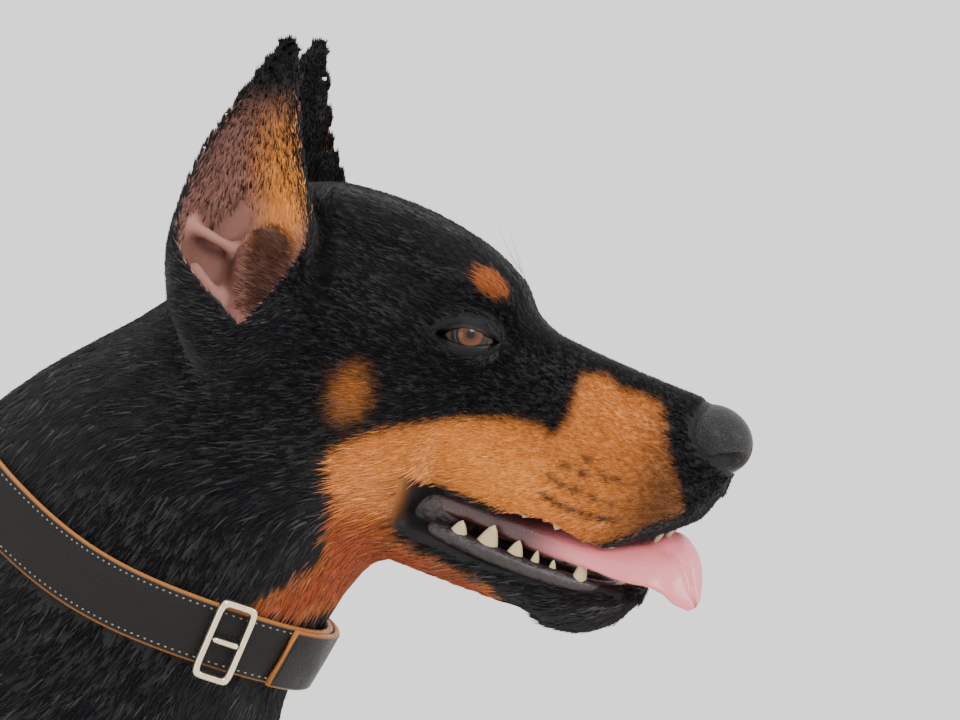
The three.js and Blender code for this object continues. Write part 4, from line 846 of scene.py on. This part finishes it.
# Eyes: glossy balls, mostly hidden. A reddish brown iris round a black pupil looks outwards and a little ahead, and the
# white is darkened. The eye is one closed ball of rings about its own line of sight, wet all over.
def grid_faces(rows, columns, around=True, ends=False):
    """Faces of a grid of rows by columns of points, closed round its columns if around and along its rows if ends."""
    row = np.arange(rows if ends else rows - 1)[:, None]
    column = np.arange(columns if around else columns - 1)[None, :]
    ahead, beside = (row + 1) % rows, (column + 1) % columns
    corners = [row * columns + column, row * columns + beside, ahead * columns + beside, ahead * columns + column]
    return np.stack(np.broadcast_arrays(*corners), -1).reshape(-1, 4)


def around(count):
    """Equal turns round a circle, in radians."""
    return np.linspace(0, 2 * math.pi, count, endpoint=False)


def eye_ball(side):
    """Rings of a sphere about the line of sight, with the cornea's bulge: 0.9 mm times a falling square."""
    sight = np.array([0.24, side * 0.965, 0.06])
    sight /= np.linalg.norm(sight)
    across = np.cross(sight, [0, 0, 1.0])
    across /= np.linalg.norm(across)
    upright = np.cross(across, sight)
    off = np.radians(np.concatenate([np.linspace(0.4, 40, 40), np.linspace(44, 179, 24)]))[:, None]
    turn = around(64)[None, :]
    radius = EYEBALL_RADIUS + 0.9 * np.maximum(1 - (off / math.radians(34)) ** 2, 0)
    rim = np.cos(turn)[..., None] * across + np.sin(turn)[..., None] * upright
    points = radius[..., None] * (np.cos(off)[..., None] * sight + np.sin(off)[..., None] * rim)
    off_axis = np.degrees(np.broadcast_to(off, (len(off), 64))).reshape(-1)
    fibre = np.broadcast_to(np.sin(turn * 23) * 0.5 + np.sin(turn * 41 + 2) * 0.5, (len(off), 64)).reshape(-1)
    return points.reshape(-1, 3) + from_head(EYEBALL * [1, side, 1]), off_axis, fibre


IRIS, IRIS_RIM, EYE_WHITE = np.array([[0.085, 0.024, 0.006], [0.012, 0.008, 0.007], [0.10, 0.06, 0.05]])
SIDES = tuple(zip((-1, 1), HANDS))
eye_material, nodes, links, shader = new_material("eye_wet", 0.5, specular_ior_level=0.1, coat_weight=0.4,
                                                  coat_roughness=0.02)
links.new(attribute(nodes, "paint").outputs["Color"], shader.inputs["Base Color"])
for side, hand in SIDES:
    points, off_axis, fibre = eye_ball(side)
    tint = IRIS * (1 + 0.25 * fibre[:, None]) * (0.55 + 0.45 * smooth_step(off_axis, 12, 24)[:, None])
    tint = toward(tint, IRIS_RIM, smooth_step(off_axis, 24, 29))
    tint = toward(tint, EYE_WHITE, smooth_step(off_axis, 44, 60)) * smooth_step(off_axis, 8, 10)[:, None]
    eye = mesh_object(f"eye_{hand}_ball", points, grid_faces(64, 64), eye_material, paint=tint)
    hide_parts(f"eye_{hand}")


# Lids: the skin's own edge round the eye, black and nearly bare, finer than the skin's grid can hold. Each is a ring
# from the almond opening on the ball, over a rolled rim, out to the skin, which it dips under.
def halving(inside, low, high, times):
    """Where a test that passes at low begins to fail on the way to high, by halving the range time after time."""
    for _ in range(times):
        half = (low + high) / 2
        passed = inside(half)
        low, high = np.where(passed, half, low), np.where(passed, high, half)
    return low


LID_ROWS, LID_TURNS = (0, 0.03, 0.08, 0.16, 0.26, 0.38, 0.52, 0.68, 0.84, 1.0), 72


def lid_ring(side):
    """Rows outwards from the almond, on the ball at first and then on the skin, found by halving along the side."""
    turn = around(LID_TURNS)
    along = 1.75 + 12.75 * np.cos(turn)
    up = almond_axis(along) + np.where(np.sin(turn) > 0, almond_over(along), -almond_under(along))
    outward = np.stack([np.cos(turn), np.sin(turn) * 0.9], 1)
    rows, shades = [], []
    for share in LID_ROWS:
        a, b = (np.stack([along, up], 1) + outward * share * 8.5).T
        ball = np.sqrt(np.maximum((EYEBALL_RADIUS + 0.25) ** 2 - a ** 2 - b ** 2, 4))
        out = halving(lambda half: flesh(from_head(np.stack([a + EYEBALL[0], half + EYEBALL[1] - 12, b], 1)))
                      + COAT_DEPTH < 0, np.zeros(len(a)), np.full(len(a), 40.0), 22)
        on_skin_y = out + EYEBALL[1] - 12
        roll = 0.9 * math.sin(math.pi * min(share / 0.2, 1))
        y = EYEBALL[1] + ball + smooth_step(share, 0.0, 0.42) * (on_skin_y + 0.35 - EYEBALL[1] - ball) + roll
        y = y - 1.3 * smooth_step(share, 0.7, 1.0)
        rows.append(from_head(np.stack([a + EYEBALL[0], side * y, b], 1)))
        shades.append(np.full(len(a), share))
    return np.concatenate(rows), np.concatenate(shades)


for side, hand in SIDES:
    points, share = lid_ring(side)
    faces = grid_faces(len(LID_ROWS), LID_TURNS)
    lid = mesh_object(f"lid_{hand}", points, faces if side > 0 else faces[:, ::-1], skin_material,
                      bare=1 - smooth_step(share, 0.1, 0.35),
                      paint=toward(LIP * 0.45, BLACK * 0.9, smooth_step(share, 0.3, 0.9)),
                      lie=lie_of(points, slope_of(flesh, points, 1.2)))


# Nose: one pad of bare wet leather, pebbled, with deep comma-shaped nostrils and a groove between them. Its surface is
# taken from the same field as the flesh, four times as finely.
def texture(nodes, links, kind, scale, detail=0):
    """A noise or cell texture on Object coordinates."""
    node = nodes.new(f"ShaderNodeTex{kind}")
    node.inputs["Scale"].default_value, node.inputs["Detail"].default_value = scale, detail
    links.new(nodes.new("ShaderNodeTexCoord").outputs["Object"], node.inputs["Vector"])
    return node


def nose_shell(h):
    """The nose's field, alike on both sides, grown a little and cut off behind inside the muzzle."""
    return np.maximum(nose_field(np.abs(h) * np.sign(h + [0, 1e3, 0])) - 0.1, 112.5 - h[:, 0])


NOSE_STEP = 0.75
nose_points, nose_faces = field_surface(nose_shell, [108, -23, -19], [149, 23, 17], NOSE_STEP)
nose_material, nodes, links, shader = new_material(
    "nose_wet", 0.4, base_color=(0.0075, 0.0072, 0.0076, 1), specular_ior_level=0.22, coat_weight=0.06,
    coat_roughness=0.25)
pebbles = texture(nodes, links, "Voronoi", 900)
pebbles.feature = "DISTANCE_TO_EDGE"
rounding = math_node(nodes, links, "POWER", pebbles.outputs["Distance"], 0.5)
add_bump(nodes, links, shader, rounding, 0.0007, 1.0)
nose = mesh_object("nose_leather", from_head(nose_points), nose_faces, nose_material)
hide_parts("nose")


# Teeth: ivory darkened with painted shade, the long ones curved cones and the cheek teeth low and broad. They stand in
# the jaws a little inside the lips: [along, side, up] of root and tip and the root's radius, for one side of the mouth.
LOWER_TEETH = [
    ((97, 16, -88), (95, 18.5, -75), 4), ((84, 17, -90), (83, 18, -82), 2.6), ((75, 18, -91), (74.5, 19, -81), 3),
    ((65, 19, -92), (65, 20, -80), 3.6), ((51, 20, -93), (51.5, 21, -78), 4.6), ((37, 21, -93), (37, 22, -82), 4),
    ((115, 4, -84), (117, 4, -75), 2.3), ((113.5, 9, -84), (115.5, 9.5, -75.5), 2.3),
]
UPPER_TEETH = [
    ((107, 17, -54), (104, 17, -69), 4), ((92, 18, -60), (91, 18, -68), 2.8), ((79, 18, -60), (78, 18, -69), 3.4),
    ((62, 18, -60), (62, 18, -70), 4.4), ((44, 18, -60), (44, 18, -71), 4.8), ((125, 4, -46), (125, 4, -55), 2.4),
    ((122, 10, -48), (122, 10, -57), 2.4),
]


TOOTH_RINGS, TOOTH_TURNS = 9, 16


def tooth(root, tip, radius):
    """Rings from root to tip whose radius falls as a root of what is left; cheek teeth are drawn out along."""
    root, tip = np.array(root, float), np.array(tip, float)
    t = np.linspace(0, 1, TOOTH_RINGS)[:, None]
    turn = around(TOOTH_TURNS)[None, :]
    size = radius * (1 - t) ** 0.62 + 0.12
    stretch = 1.5 if radius > 3 and root[0] < 90 else 1.0
    bow = np.sin(t * math.pi) * (0.9 if root[0] > 90 else 0.2)
    ring = np.stack([size * stretch * np.cos(turn) + bow, size * 0.75 * np.sin(turn), 0 * turn * t], -1)
    return (ring + (root + t * (tip - root))[:, None]).reshape(-1, 3)


tooth_points = [tooth(*row) * [1, side, 1] for row in LOWER_TEETH + UPPER_TEETH for side in (-1, 1)]
tooth_grid = grid_faces(TOOTH_RINGS, TOOTH_TURNS)
tooth_pair = np.concatenate([tooth_grid[:, ::-1], tooth_grid + TOOTH_RINGS * TOOTH_TURNS])
tooth_faces = copies(tooth_pair, len(tooth_points) // 2, 2 * TOOTH_RINGS * TOOTH_TURNS)
# Painted shade: the ivory is darker than the teeth themselves, for the shade inside the mouth.
tooth_material = new_material("tooth_ivory_shaded", 0.25, base_color=(0.40, 0.31, 0.17, 1), subsurface_weight=0.1)[0]
teeth = mesh_object("teeth", from_head(np.concatenate(tooth_points)), tooth_faces, tooth_material)


# Gums and the back of the mouth: wet dark lining. The gum is a rounded ridge round each jaw that the teeth stand in,
# and behind the tongue's root the cheeks and throat close the mouth.
GUM_RINGS, GUM_TURNS, THROAT_RINGS, THROAT_TURNS = 60, 16, 20, 32


def ridge(path, radii):
    """A tube of rings through a smoothed path, closed at its ends by rings of almost no size."""
    at = np.linspace(0, len(path) - 1, GUM_RINGS)
    centre = np.stack([curve(*enumerate(column))(at) for column in np.array(path, float).T], 1)
    ahead = np.gradient(centre, axis=0)
    ahead /= np.linalg.norm(ahead, axis=1, keepdims=True)
    across = np.cross(ahead, [0, 0, 1.0])
    turn = around(GUM_TURNS)[None, :, None]
    size = np.sqrt(np.clip(np.minimum(at, at[::-1]) / 0.3, 0.0004, 1))[:, None, None]
    ring = np.cos(turn) * across[:, None] * radii[0] + np.sin(turn) * np.array([0, 0, radii[1]])
    return (centre[:, None] + size * ring).reshape(-1, 3)


def both_sides(path):
    """The right half of a path from the middle to the back, with its left half before it."""
    path = np.array(path, float)
    return np.concatenate([path[::-1], path[1:] * [1, -1, 1]])


def blend(nodes, links, share, a, b):
    """A mix of two colours."""
    node = nodes.new("ShaderNodeMix")
    node.data_type = "RGBA"
    node.inputs["A"].default_value, node.inputs["B"].default_value = a, b
    links.new(share, node.inputs["Factor"])
    return node.outputs["Result"]


LOWER_GUM = both_sides([(115, 0, -84.5), (111, 9, -86), (98, 15.5, -88.5), (84, 17.5, -90), (65, 19.5, -91),
                        (45, 20.5, -91.5), (22, 20, -91)])
UPPER_GUM = both_sides([(118, 0, -46), (113, 10, -50), (101, 15, -56), (84, 17, -60), (62, 17.5, -61), (38, 17.5, -62)])
lining, nodes, links, shader = new_material("mouth_lining", 0.5, coat_weight=0.1, coat_roughness=0.2)
blotches = texture(nodes, links, "Noise", 130, 5).outputs["Fac"]
darkened = math_node(nodes, links, "POWER", blotches, 3.0)
wet_colour = blend(nodes, links, darkened, (0.005, 0.0035, 0.0035, 1), (0.05, 0.014, 0.016, 1))
links.new(wet_colour, shader.inputs["Base Color"])
add_bump(nodes, links, shader, blotches, 0.003, 1.0)
gum_points = np.concatenate([ridge(LOWER_GUM, (4.3, 4.3)), ridge(UPPER_GUM, (4.2, 4.2))])
gum_faces = copies(grid_faces(GUM_RINGS, GUM_TURNS), 2, GUM_RINGS * GUM_TURNS)
gums = mesh_object("gums", from_head(gum_points), gum_faces, lining)
turn = around(THROAT_TURNS)[None, :, None]
polar = np.linspace(0.02, math.pi - 0.02, THROAT_RINGS)[:, None, None]
throat_ball = np.broadcast_arrays(-np.cos(polar), np.sin(polar) * np.cos(turn), np.sin(polar) * np.sin(turn))
throat_points = np.concatenate(throat_ball, -1).reshape(-1, 3) * [30, 17, 17] + [16, 0, -83]
throat = mesh_object("mouth_back", from_head(throat_points), grid_faces(THROAT_RINGS, THROAT_TURNS), lining)


# Tongue: soft wet muscle, pink, out over the lower teeth on the near side, with a fold down its middle. Rows give its
# left and right edge in the head's frame, its thickness and how far its middle arches.
def capped(rows, columns, first, last):
    """Triangles of a grid, with fans from its end rows to the points numbered first and last."""
    quads, ring, end = grid_faces(rows, columns), np.arange(columns), (rows - 1) * columns
    beside = (ring + 1) % columns
    return np.concatenate([quads[:, [0, 1, 2]], quads[:, [0, 2, 3]],
                           np.stack([end + ring, end + beside, np.full(columns, last)], 1),
                           np.stack([beside, ring, np.full(columns, first)], 1)])


TONGUE_ROWS = np.array([
    (6, 15, -84, 6, -15, -84, 12, 2), (24, 16, -80, 24, -16, -80, 17, 3), (48, 16, -78, 48, -17, -78, 18, 4),
    (72, 16, -77, 70, -18.5, -78, 18, 3.5), (95, 14, -71.5, 90, -21.5, -77.5, 14, 4),
    (114, 12, -60, 107, -25.5, -77.5, 6.5, 6), (130, 9, -50.5, 121, -28, -76, 5.5, 5),
    (140, 4, -54, 130, -28.5, -74, 4.8, 4), (146, 0, -60, 137, -27.5, -74.5, 4.4, 3),
    (150, -5, -67, 143, -25, -77, 3.6, 2), (152.5, -11, -73, 150, -19, -78, 2.4, 1)], float)
TONGUE_LENGTHS, TONGUE_TURNS = 90, 56
TONGUE_PINK, TONGUE_SHADE = np.array([0.60, 0.155, 0.175]), np.array([0.045, 0.012, 0.013])
place = np.linspace(0, len(TONGUE_ROWS) - 1, TONGUE_LENGTHS)
rows = np.stack([curve(*enumerate(column))(place) for column in TONGUE_ROWS.T], 1)
left, right, thick, arch = rows[:, None, :3], rows[:, None, 3:6], rows[:, 6:7], rows[:, 7:8]
turn = around(TONGUE_TURNS)[None, :]
across = (1 + np.cos(turn)) / 2
edge_on = (left - right)[:, 0, 1:] / np.linalg.norm((left - right)[:, 0, 1:], axis=1, keepdims=True)
fold = 3.0 * np.exp(-((across - 0.45) / 0.09) ** 2) * smooth_step(place, 4, 7)[:, None] * (np.sin(turn) > 0)
body = np.sign(np.sin(turn)) * np.abs(np.sin(turn)) ** 0.7 * thick / 2
tongue_lift = arch * (1 - (2 * across - 1) ** 2) + body - fold
rise = np.stack([0 * tongue_lift, -tongue_lift * edge_on[:, 1:], tongue_lift * edge_on[:, :1]], -1)
tongue_points = left + across[..., None] * (right - left) + rise
tip_point = tongue_points[-1].mean(0, keepdims=True) + [1.2, 0, -0.6]
root_point = tongue_points[0].mean(0, keepdims=True)
tongue_points = np.concatenate([tongue_points.reshape(-1, 3), tip_point, root_point])
# Painted shade: the back of the tongue fades from pink to near black.
back = np.append(np.repeat(1 - smooth_step(place, 2.7, 4.4), TONGUE_TURNS), [0, 1])
tongue_material, nodes, links, shader = new_material("tongue_wet", 0.36, subsurface_weight=0.15, coat_weight=0.3,
                                                     coat_roughness=0.2, subsurface_radius=(0.004, 0.0015, 0.001))
links.new(attribute(nodes, "paint").outputs["Color"], shader.inputs["Base Color"])
add_bump(nodes, links, shader, texture(nodes, links, "Noise", 700, 3).outputs["Fac"], 0.0005, 0.7)
tip_number = TONGUE_LENGTHS * TONGUE_TURNS
tongue = mesh_object("tongue_muscle", from_head(tongue_points),
                     capped(TONGUE_LENGTHS, TONGUE_TURNS, tip_number + 1, tip_number), tongue_material,
                     paint=toward(TONGUE_PINK, TONGUE_SHADE, back))
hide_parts("tongue")


# Claws: four blunt black claws of horn on each foot, each curving down from its toe's end.
CLAW_RINGS, CLAW_TURNS = 10, 12


def claw(centre, size, side, lag):
    """Rings along an arc whose radius falls as the square root of what is left."""
    t = np.linspace(0, 1, CLAW_RINGS)[:, None]
    turn = around(CLAW_TURNS)[None, :]
    x, y = centre
    path = np.stack([18 + 21 * np.sin(t * 1.35) / math.sin(1.35), 0 * t, 16.5 - 11 * t ** 2], -1)
    wide = 3.5 * np.sqrt(1 - t * 0.97)
    ring = np.stack([wide * np.cos(turn) * 0.5, wide * np.sin(turn) * 0.8, wide * np.cos(turn)], -1)
    return ((path + ring) * size + [x + lag, side * y, 0]).reshape(-1, 3)


claw_points = []
for side in (-1, 1):
    for pastern, size, lag in ((FORE_PASTERN, 1.0, -FORE_LAG), (HIND_PASTERN, HIND_FOOT_SIZE, HIND_LAG)):
        for _, ahead, _, tip in TOES:
            at = (pastern[0] + ahead * size, pastern[1] + tip * size)
            claw_points.append(claw(at, size, side, lag * (side > 0)))
claw_faces = copies(grid_faces(CLAW_RINGS, CLAW_TURNS)[:, ::-1], len(claw_points), CLAW_RINGS * CLAW_TURNS)
claw_material = new_material("claw_horn", 0.3, base_color=(0.013, 0.011, 0.010, 1))[0]
claws = mesh_object("claws", np.concatenate(claw_points), claw_faces, claw_material)


# Collar: a strap of black leather with raw tan edges, cut from hide and stitched. It lies on the neck, its radius at
# each turn found by walking out of the flesh, and its free end runs on over it past the buckle.
def collar_point(turn, along, radius):
    """The collar's centre, plus its up times the height less the sag, plus the radius in the turn's direction."""
    rise = along - COLLAR_SAG * np.sin(turn) ** 2
    out = np.cos(turn)[..., None] * COLLAR_FRONT + np.sin(turn)[..., None] * np.array([0, 1.0, 0])
    return COLLAR_CENTRE + rise[..., None] * COLLAR_UP + np.asarray(radius)[..., None] * out


def neck_flesh(p):
    """Trunk and neck alone, joined, on both sides."""
    return fillet(50, trunk(p), neck(np.stack([p[:, 0], np.abs(p[:, 1]), p[:, 2]], 1)))


def neck_radius(turn, along):
    """Where the flesh ends in the turn's direction, by halving."""
    return halving(lambda radius: neck_flesh(collar_point(turn, along, radius)) < 0,
                   np.full(len(turn), 20.0), np.full(len(turn), 130.0), 14)


HALF_WIDTH = 15
STRAP_TURNS = around(224)
SOLID_STEP = 2 * math.pi / 56
BUCKLE_TURN = -6 * SOLID_STEP
fit_low, fit_high = (neck_radius(STRAP_TURNS, edge) for edge in (-HALF_WIDTH, HALF_WIDTH))


def strap_place(turn, along, out):
    """A point on the strap at a turn, along its width and out from the neck, between the fits at its two edges."""
    low, high = (np.interp(turn % (2 * math.pi), np.append(STRAP_TURNS, 2 * math.pi), np.append(fit, fit[0]))
                 for fit in (fit_low, fit_high))
    share = (along + HALF_WIDTH) / (2 * HALF_WIDTH)
    return collar_point(turn, along, low + (high - low) * share + out)


# Places across the strap, heights from its inside, and 1 on the raw edge.
STRAP_PROFILE = np.array([
    (-15, 0.5, 1), (-14.4, 0, 1), (-7, 0, 0), (0, 0, 0), (7, 0, 0), (14.4, 0, 1), (15, 0.5, 1), (15, 2.4, 1),
    (14.5, 3.2, 0.6), (13.6, 3.7, 0), (12.4, 3.5, 0), (11.6, 3.62, 0), (6, 3.75, 0), (0, 3.8, 0), (-6, 3.75, 0),
    (-11.6, 3.62, 0), (-12.4, 3.5, 0), (-13.6, 3.7, 0), (-14.5, 3.2, 0.6), (-15, 2.4, 1)])
STRAP_THICK = 3.8


def strap(name, turns, lift, thick, closed):
    """A rounded profile swept along the turns, with a mask of 1 on the raw edges."""
    count = len(STRAP_PROFILE)
    along, out = STRAP_PROFILE[None, :, 0], STRAP_PROFILE[None, :, 1] * thick / STRAP_THICK + lift
    rings = strap_place(*np.broadcast_arrays(turns[:, None], along, out))
    points, raw = rings.reshape(-1, 3), np.tile(STRAP_PROFILE[:, 2], len(turns))
    if closed:
        faces = grid_faces(len(turns), count, ends=True)
    else:
        faces = capped(len(turns), count, len(points), len(points) + 1)
        points, raw = np.concatenate([points, rings[[0, -1]].mean(1)]), np.append(raw, [1, 1])
    return mesh_object(name, points, faces[:, ::-1], leather, raw=raw)


leather, nodes, links, shader = new_material("collar_leather", 0.42, specular_ior_level=0.14)
grain = texture(nodes, links, "Voronoi", 1100).outputs["Distance"]
scuffs = texture(nodes, links, "Noise", 60, 6).outputs["Fac"]
raw_edge = attribute(nodes, "raw").outputs["Fac"]
hide_colour = blend(nodes, links, raw_edge, (0.0075, 0.0072, 0.007, 1), (0.36, 0.14, 0.035, 1))
links.new(hide_colour, shader.inputs["Base Color"])
links.new(math_node(nodes, links, "MULTIPLY_ADD", scuffs, 0.5, 0.18), shader.inputs["Roughness"])
add_bump(nodes, links, shader, math_node(nodes, links, "ADD", grain, scuffs), 0.0004, 0.6)
band = strap("collar_band", STRAP_TURNS, 1.2, STRAP_THICK, True)
end_turns = np.linspace(BUCKLE_TURN + 3 * SOLID_STEP, 3 * SOLID_STEP, 40)
loose_end = strap("collar_loose_end", end_turns, 5.3, 3.4, False)
for piece, node in ((band, "collar_strap"), (loose_end, "collar_end")):
    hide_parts(node)

# Stitches: waxed grey thread, one line 3 mm in from each edge, every stitch a small closed spindle sunk at both ends.
stitch_points = []
for row in (-12.2, 12.2):
    for start in np.linspace(0.06, 2 * math.pi - 0.02, 150):
        ends = strap_place(np.array([start, start + 0.012, start + 0.024]), np.full(3, row), np.array([4.6, 5.1, 4.6]))
        up = COLLAR_UP * 0.55
        out = (ends[1] - COLLAR_CENTRE) / np.linalg.norm(ends[1] - COLLAR_CENTRE) * 0.4
        stitch_points.append(np.stack([ends[0], ends[1] + up, ends[1] + out, ends[1] - up, ends[1] - out, ends[2]]))
spindle = np.array([face for i in range(4) for face in ((0, 1 + (i + 1) % 4, 1 + i), (5, 1 + i, 1 + (i + 1) % 4))])
stitch_faces = copies(spindle, len(stitch_points), 6)
thread = new_material("waxed_thread", 0.6, base_color=(0.16, 0.15, 0.14, 1))[0]
stitches = mesh_object("collar_stitches", np.concatenate(stitch_points), stitch_faces, thread)

# Buckle: a cast frame of pale brass with rounded edges, standing on the strap, and its round pin across the middle.
BUCKLE_OUT = 1.2 + STRAP_THICK + 0.3 + 1.8
buckle_at, beyond, above = strap_place(BUCKLE_TURN + np.array([0, 0.05, 0]), np.array([0, 0, 5.0]),
                                       np.full(3, BUCKLE_OUT))
ahead = (beyond - buckle_at) / np.linalg.norm(beyond - buckle_at)
face = np.cross(ahead, above - buckle_at)
face /= np.linalg.norm(face)
upright = np.cross(face, ahead)
FRAME_TURNS, PIN_RINGS, PIN_TURNS = 96, 15, 20


def rounded_box(wide, high, square):
    """A loop whose corners are rounded: cosine and sine raised to a small power."""
    c, s = np.cos(around(FRAME_TURNS)), np.sin(around(FRAME_TURNS))
    return np.stack([wide * np.sign(c) * np.abs(c) ** square, high * np.sign(s) * np.abs(s) ** square], 1)


outer, inner = rounded_box(10, 20, 0.28), rounded_box(7, 16.6, 0.22)
# Loops round the frame's section: the share of the way from the opening to the outer edge, and the height.
FRAME_LOOPS = [(0, 0.5), (0.1, 0), (0.9, 0), (1, 0.5), (1, 2.5),
               (0.86, 3.2), (0.6, 3.5), (0.4, 3.5), (0.14, 3.2), (0, 2.5)]
metal, nodes, links, shader = new_material("pale_brass", 0.26, base_color=(0.66, 0.58, 0.42, 1), metallic=1.0)
tone = nodes.new("ShaderNodeMapRange")
tone.inputs["To Min"].default_value, tone.inputs["To Max"].default_value = 0.16, 0.42
links.new(texture(nodes, links, "Noise", 260, 5).outputs["Fac"], tone.inputs["Value"])
links.new(tone.outputs["Result"], shader.inputs["Roughness"])
loops = [(inner + (outer - inner) * share, depth) for share, depth in FRAME_LOOPS]
buckle_points = np.concatenate([buckle_at + loop[:, :1] * ahead + loop[:, 1:] * upright + depth * face
                                for loop, depth in loops])
buckle = mesh_object("buckle_frame", buckle_points, grid_faces(len(loops), FRAME_TURNS, ends=True)[:, ::-1],
                     metal)
turn = around(PIN_TURNS)[None, :]
t = np.linspace(-1, 1, PIN_RINGS)[:, None]
pin_size = 1.55 * np.sqrt(np.maximum(1 - np.abs(t) ** 9, 0.01))
pin_points = (buckle_at + (t * 6.8)[..., None] * ahead + (pin_size * np.cos(turn))[..., None] * upright
              + (2.8 + pin_size * np.sin(turn))[..., None] * face).reshape(-1, 3)
pin = mesh_object("buckle_pin", pin_points, grid_faces(PIN_RINGS, PIN_TURNS), metal)
for piece, node in ((buckle, "collar_buckle"), (pin, "collar_pin")):
    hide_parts(node)


# Whiskers and brow hairs: single stiff hairs, drawn as tapering three-sided rods. They leave the muzzle's dark spots
# and the brow and bend back and down.
WHISKERS = [
    (76, -36, 17), (84, -34, 20), (92, -33, 24), (70, -44, 19), (80, -46, 24), (90, -47, 28), (100, -46, 22),
    (72, -54, 20), (84, -56, 28), (96, -57, 26), (60, -104, 26), (76, -107, 24), (92, -108, 22), (104, -102, 18),
    (14, 33, 22), (20, 27, 18)]
WHISKER_RINGS, WHISKER_SIDES = 8, 3
hair_points = []
for along, up, size in WHISKERS:
    for side in (-1, 1):
        out = halving(lambda half: flesh(from_head(np.array([[along, half[0], up]]))) < 0,
                      np.array([0.0]), np.array([60.0]), 16)[0]
        t = np.linspace(0, 1, WHISKER_RINGS)[:, None]
        bend = np.array([-0.5, 0.75, 0.35 if up > 0 else -0.3])
        path = np.array([along, out - 1, up]) + size * (t * bend + t * t * [-0.35, -0.1, 0.5 if up > 0 else -0.35])
        thin = 0.16 * (1 - t) + 0.02
        ring = np.array([[0, 1, 0], [0.6, -0.5, 0.6], [-0.6, -0.5, -0.6]])
        points = path[:, None] + thin[:, :, None] * ring
        hair_points.append(from_head(points.reshape(-1, 3) * [1, side, 1]))
hair_faces = copies(grid_faces(WHISKER_RINGS, WHISKER_SIDES), len(hair_points), WHISKER_RINGS * WHISKER_SIDES)
hair_material = new_material("whisker_hair", 0.4, base_color=(0.02, 0.018, 0.016, 1))[0]
whiskers = mesh_object("whiskers", np.concatenate(hair_points), hair_faces, hair_material)


# The camera stands where the photograph's did, a long lens level with the head. Round the dog: a pale floor, a pale
# even sky, a broad soft light from the front and above, and weaker ones from behind and low down.
def stage_light(name, place, aim, size, power, tint):
    """A square area light at place, in metres, turned towards aim."""
    lamp = bpy.data.lights.new(name, "AREA")
    lamp.size, lamp.energy, lamp.color = size, power, tint
    light = bpy.data.objects.new(name, lamp)
    light.location = place
    light.rotation_euler = (Vector(place) - Vector(aim)).to_track_quat("Z", "Y").to_euler()
    bpy.context.scene.collection.objects.link(light)
    return light


camera_aim = to_scene([319.6, 0.0, 833.9])
camera_turn, camera_rise, CAMERA_DISTANCE = math.radians(11.5), math.radians(2.5), 2.5
camera_back = np.array([math.sin(camera_turn) * math.cos(camera_rise), -math.cos(camera_turn) * math.cos(camera_rise),
                        math.sin(camera_rise)])
lens = bpy.data.cameras.new("camera")
lens.lens, lens.sensor_width, lens.clip_end = 200, 36, 50
camera = bpy.data.objects.new("camera", lens)
camera.location = camera_aim + camera_back * CAMERA_DISTANCE
camera.rotation_euler = Vector(camera_back).to_track_quat("Z", "Y").to_euler()
bpy.context.scene.collection.objects.link(camera)
bpy.context.scene.camera = camera

FLOOR_RADIUS, FLOOR_TOP = 4, -0.0005
floor_mesh = bpy.data.meshes.new("floor")
floor_edge = [(FLOOR_RADIUS * math.cos(turn), FLOOR_RADIUS * math.sin(turn), FLOOR_TOP) for turn in around(96)]
floor_mesh.from_pydata(floor_edge, [], [tuple(range(96))])
floor_mesh.materials.append(new_material("stage_paper", 0.9, base_color=(0.80, 0.785, 0.76, 1))[0])
floor = bpy.data.objects.new("floor", floor_mesh)
bpy.context.scene.collection.objects.link(floor)
key_light = stage_light("key_light", (1.5, -2.2, 2.4), camera_aim, 1.2, 70, (1, 0.97, 0.92))
front_light = stage_light("front_light", (2.6, 0.2, 1.5), camera_aim, 1.0, 34, (0.95, 0.97, 1))
top_light = stage_light("top_light", (-0.3, 0.4, 3.0), camera_aim, 2.4, 40, (1, 1, 1))
low_light = stage_light("low_light", (-1.8, -2.4, 0.9), (0, 0, 0.5), 1.6, 22, (1, 0.98, 0.95))
world = bpy.data.worlds.new("studio")
world.use_nodes = True
world.node_tree.nodes["Background"].inputs["Color"].default_value = (0.80, 0.79, 0.78, 1)
world.node_tree.nodes["Background"].inputs["Strength"].default_value = 1.9
bpy.context.scene.world = world
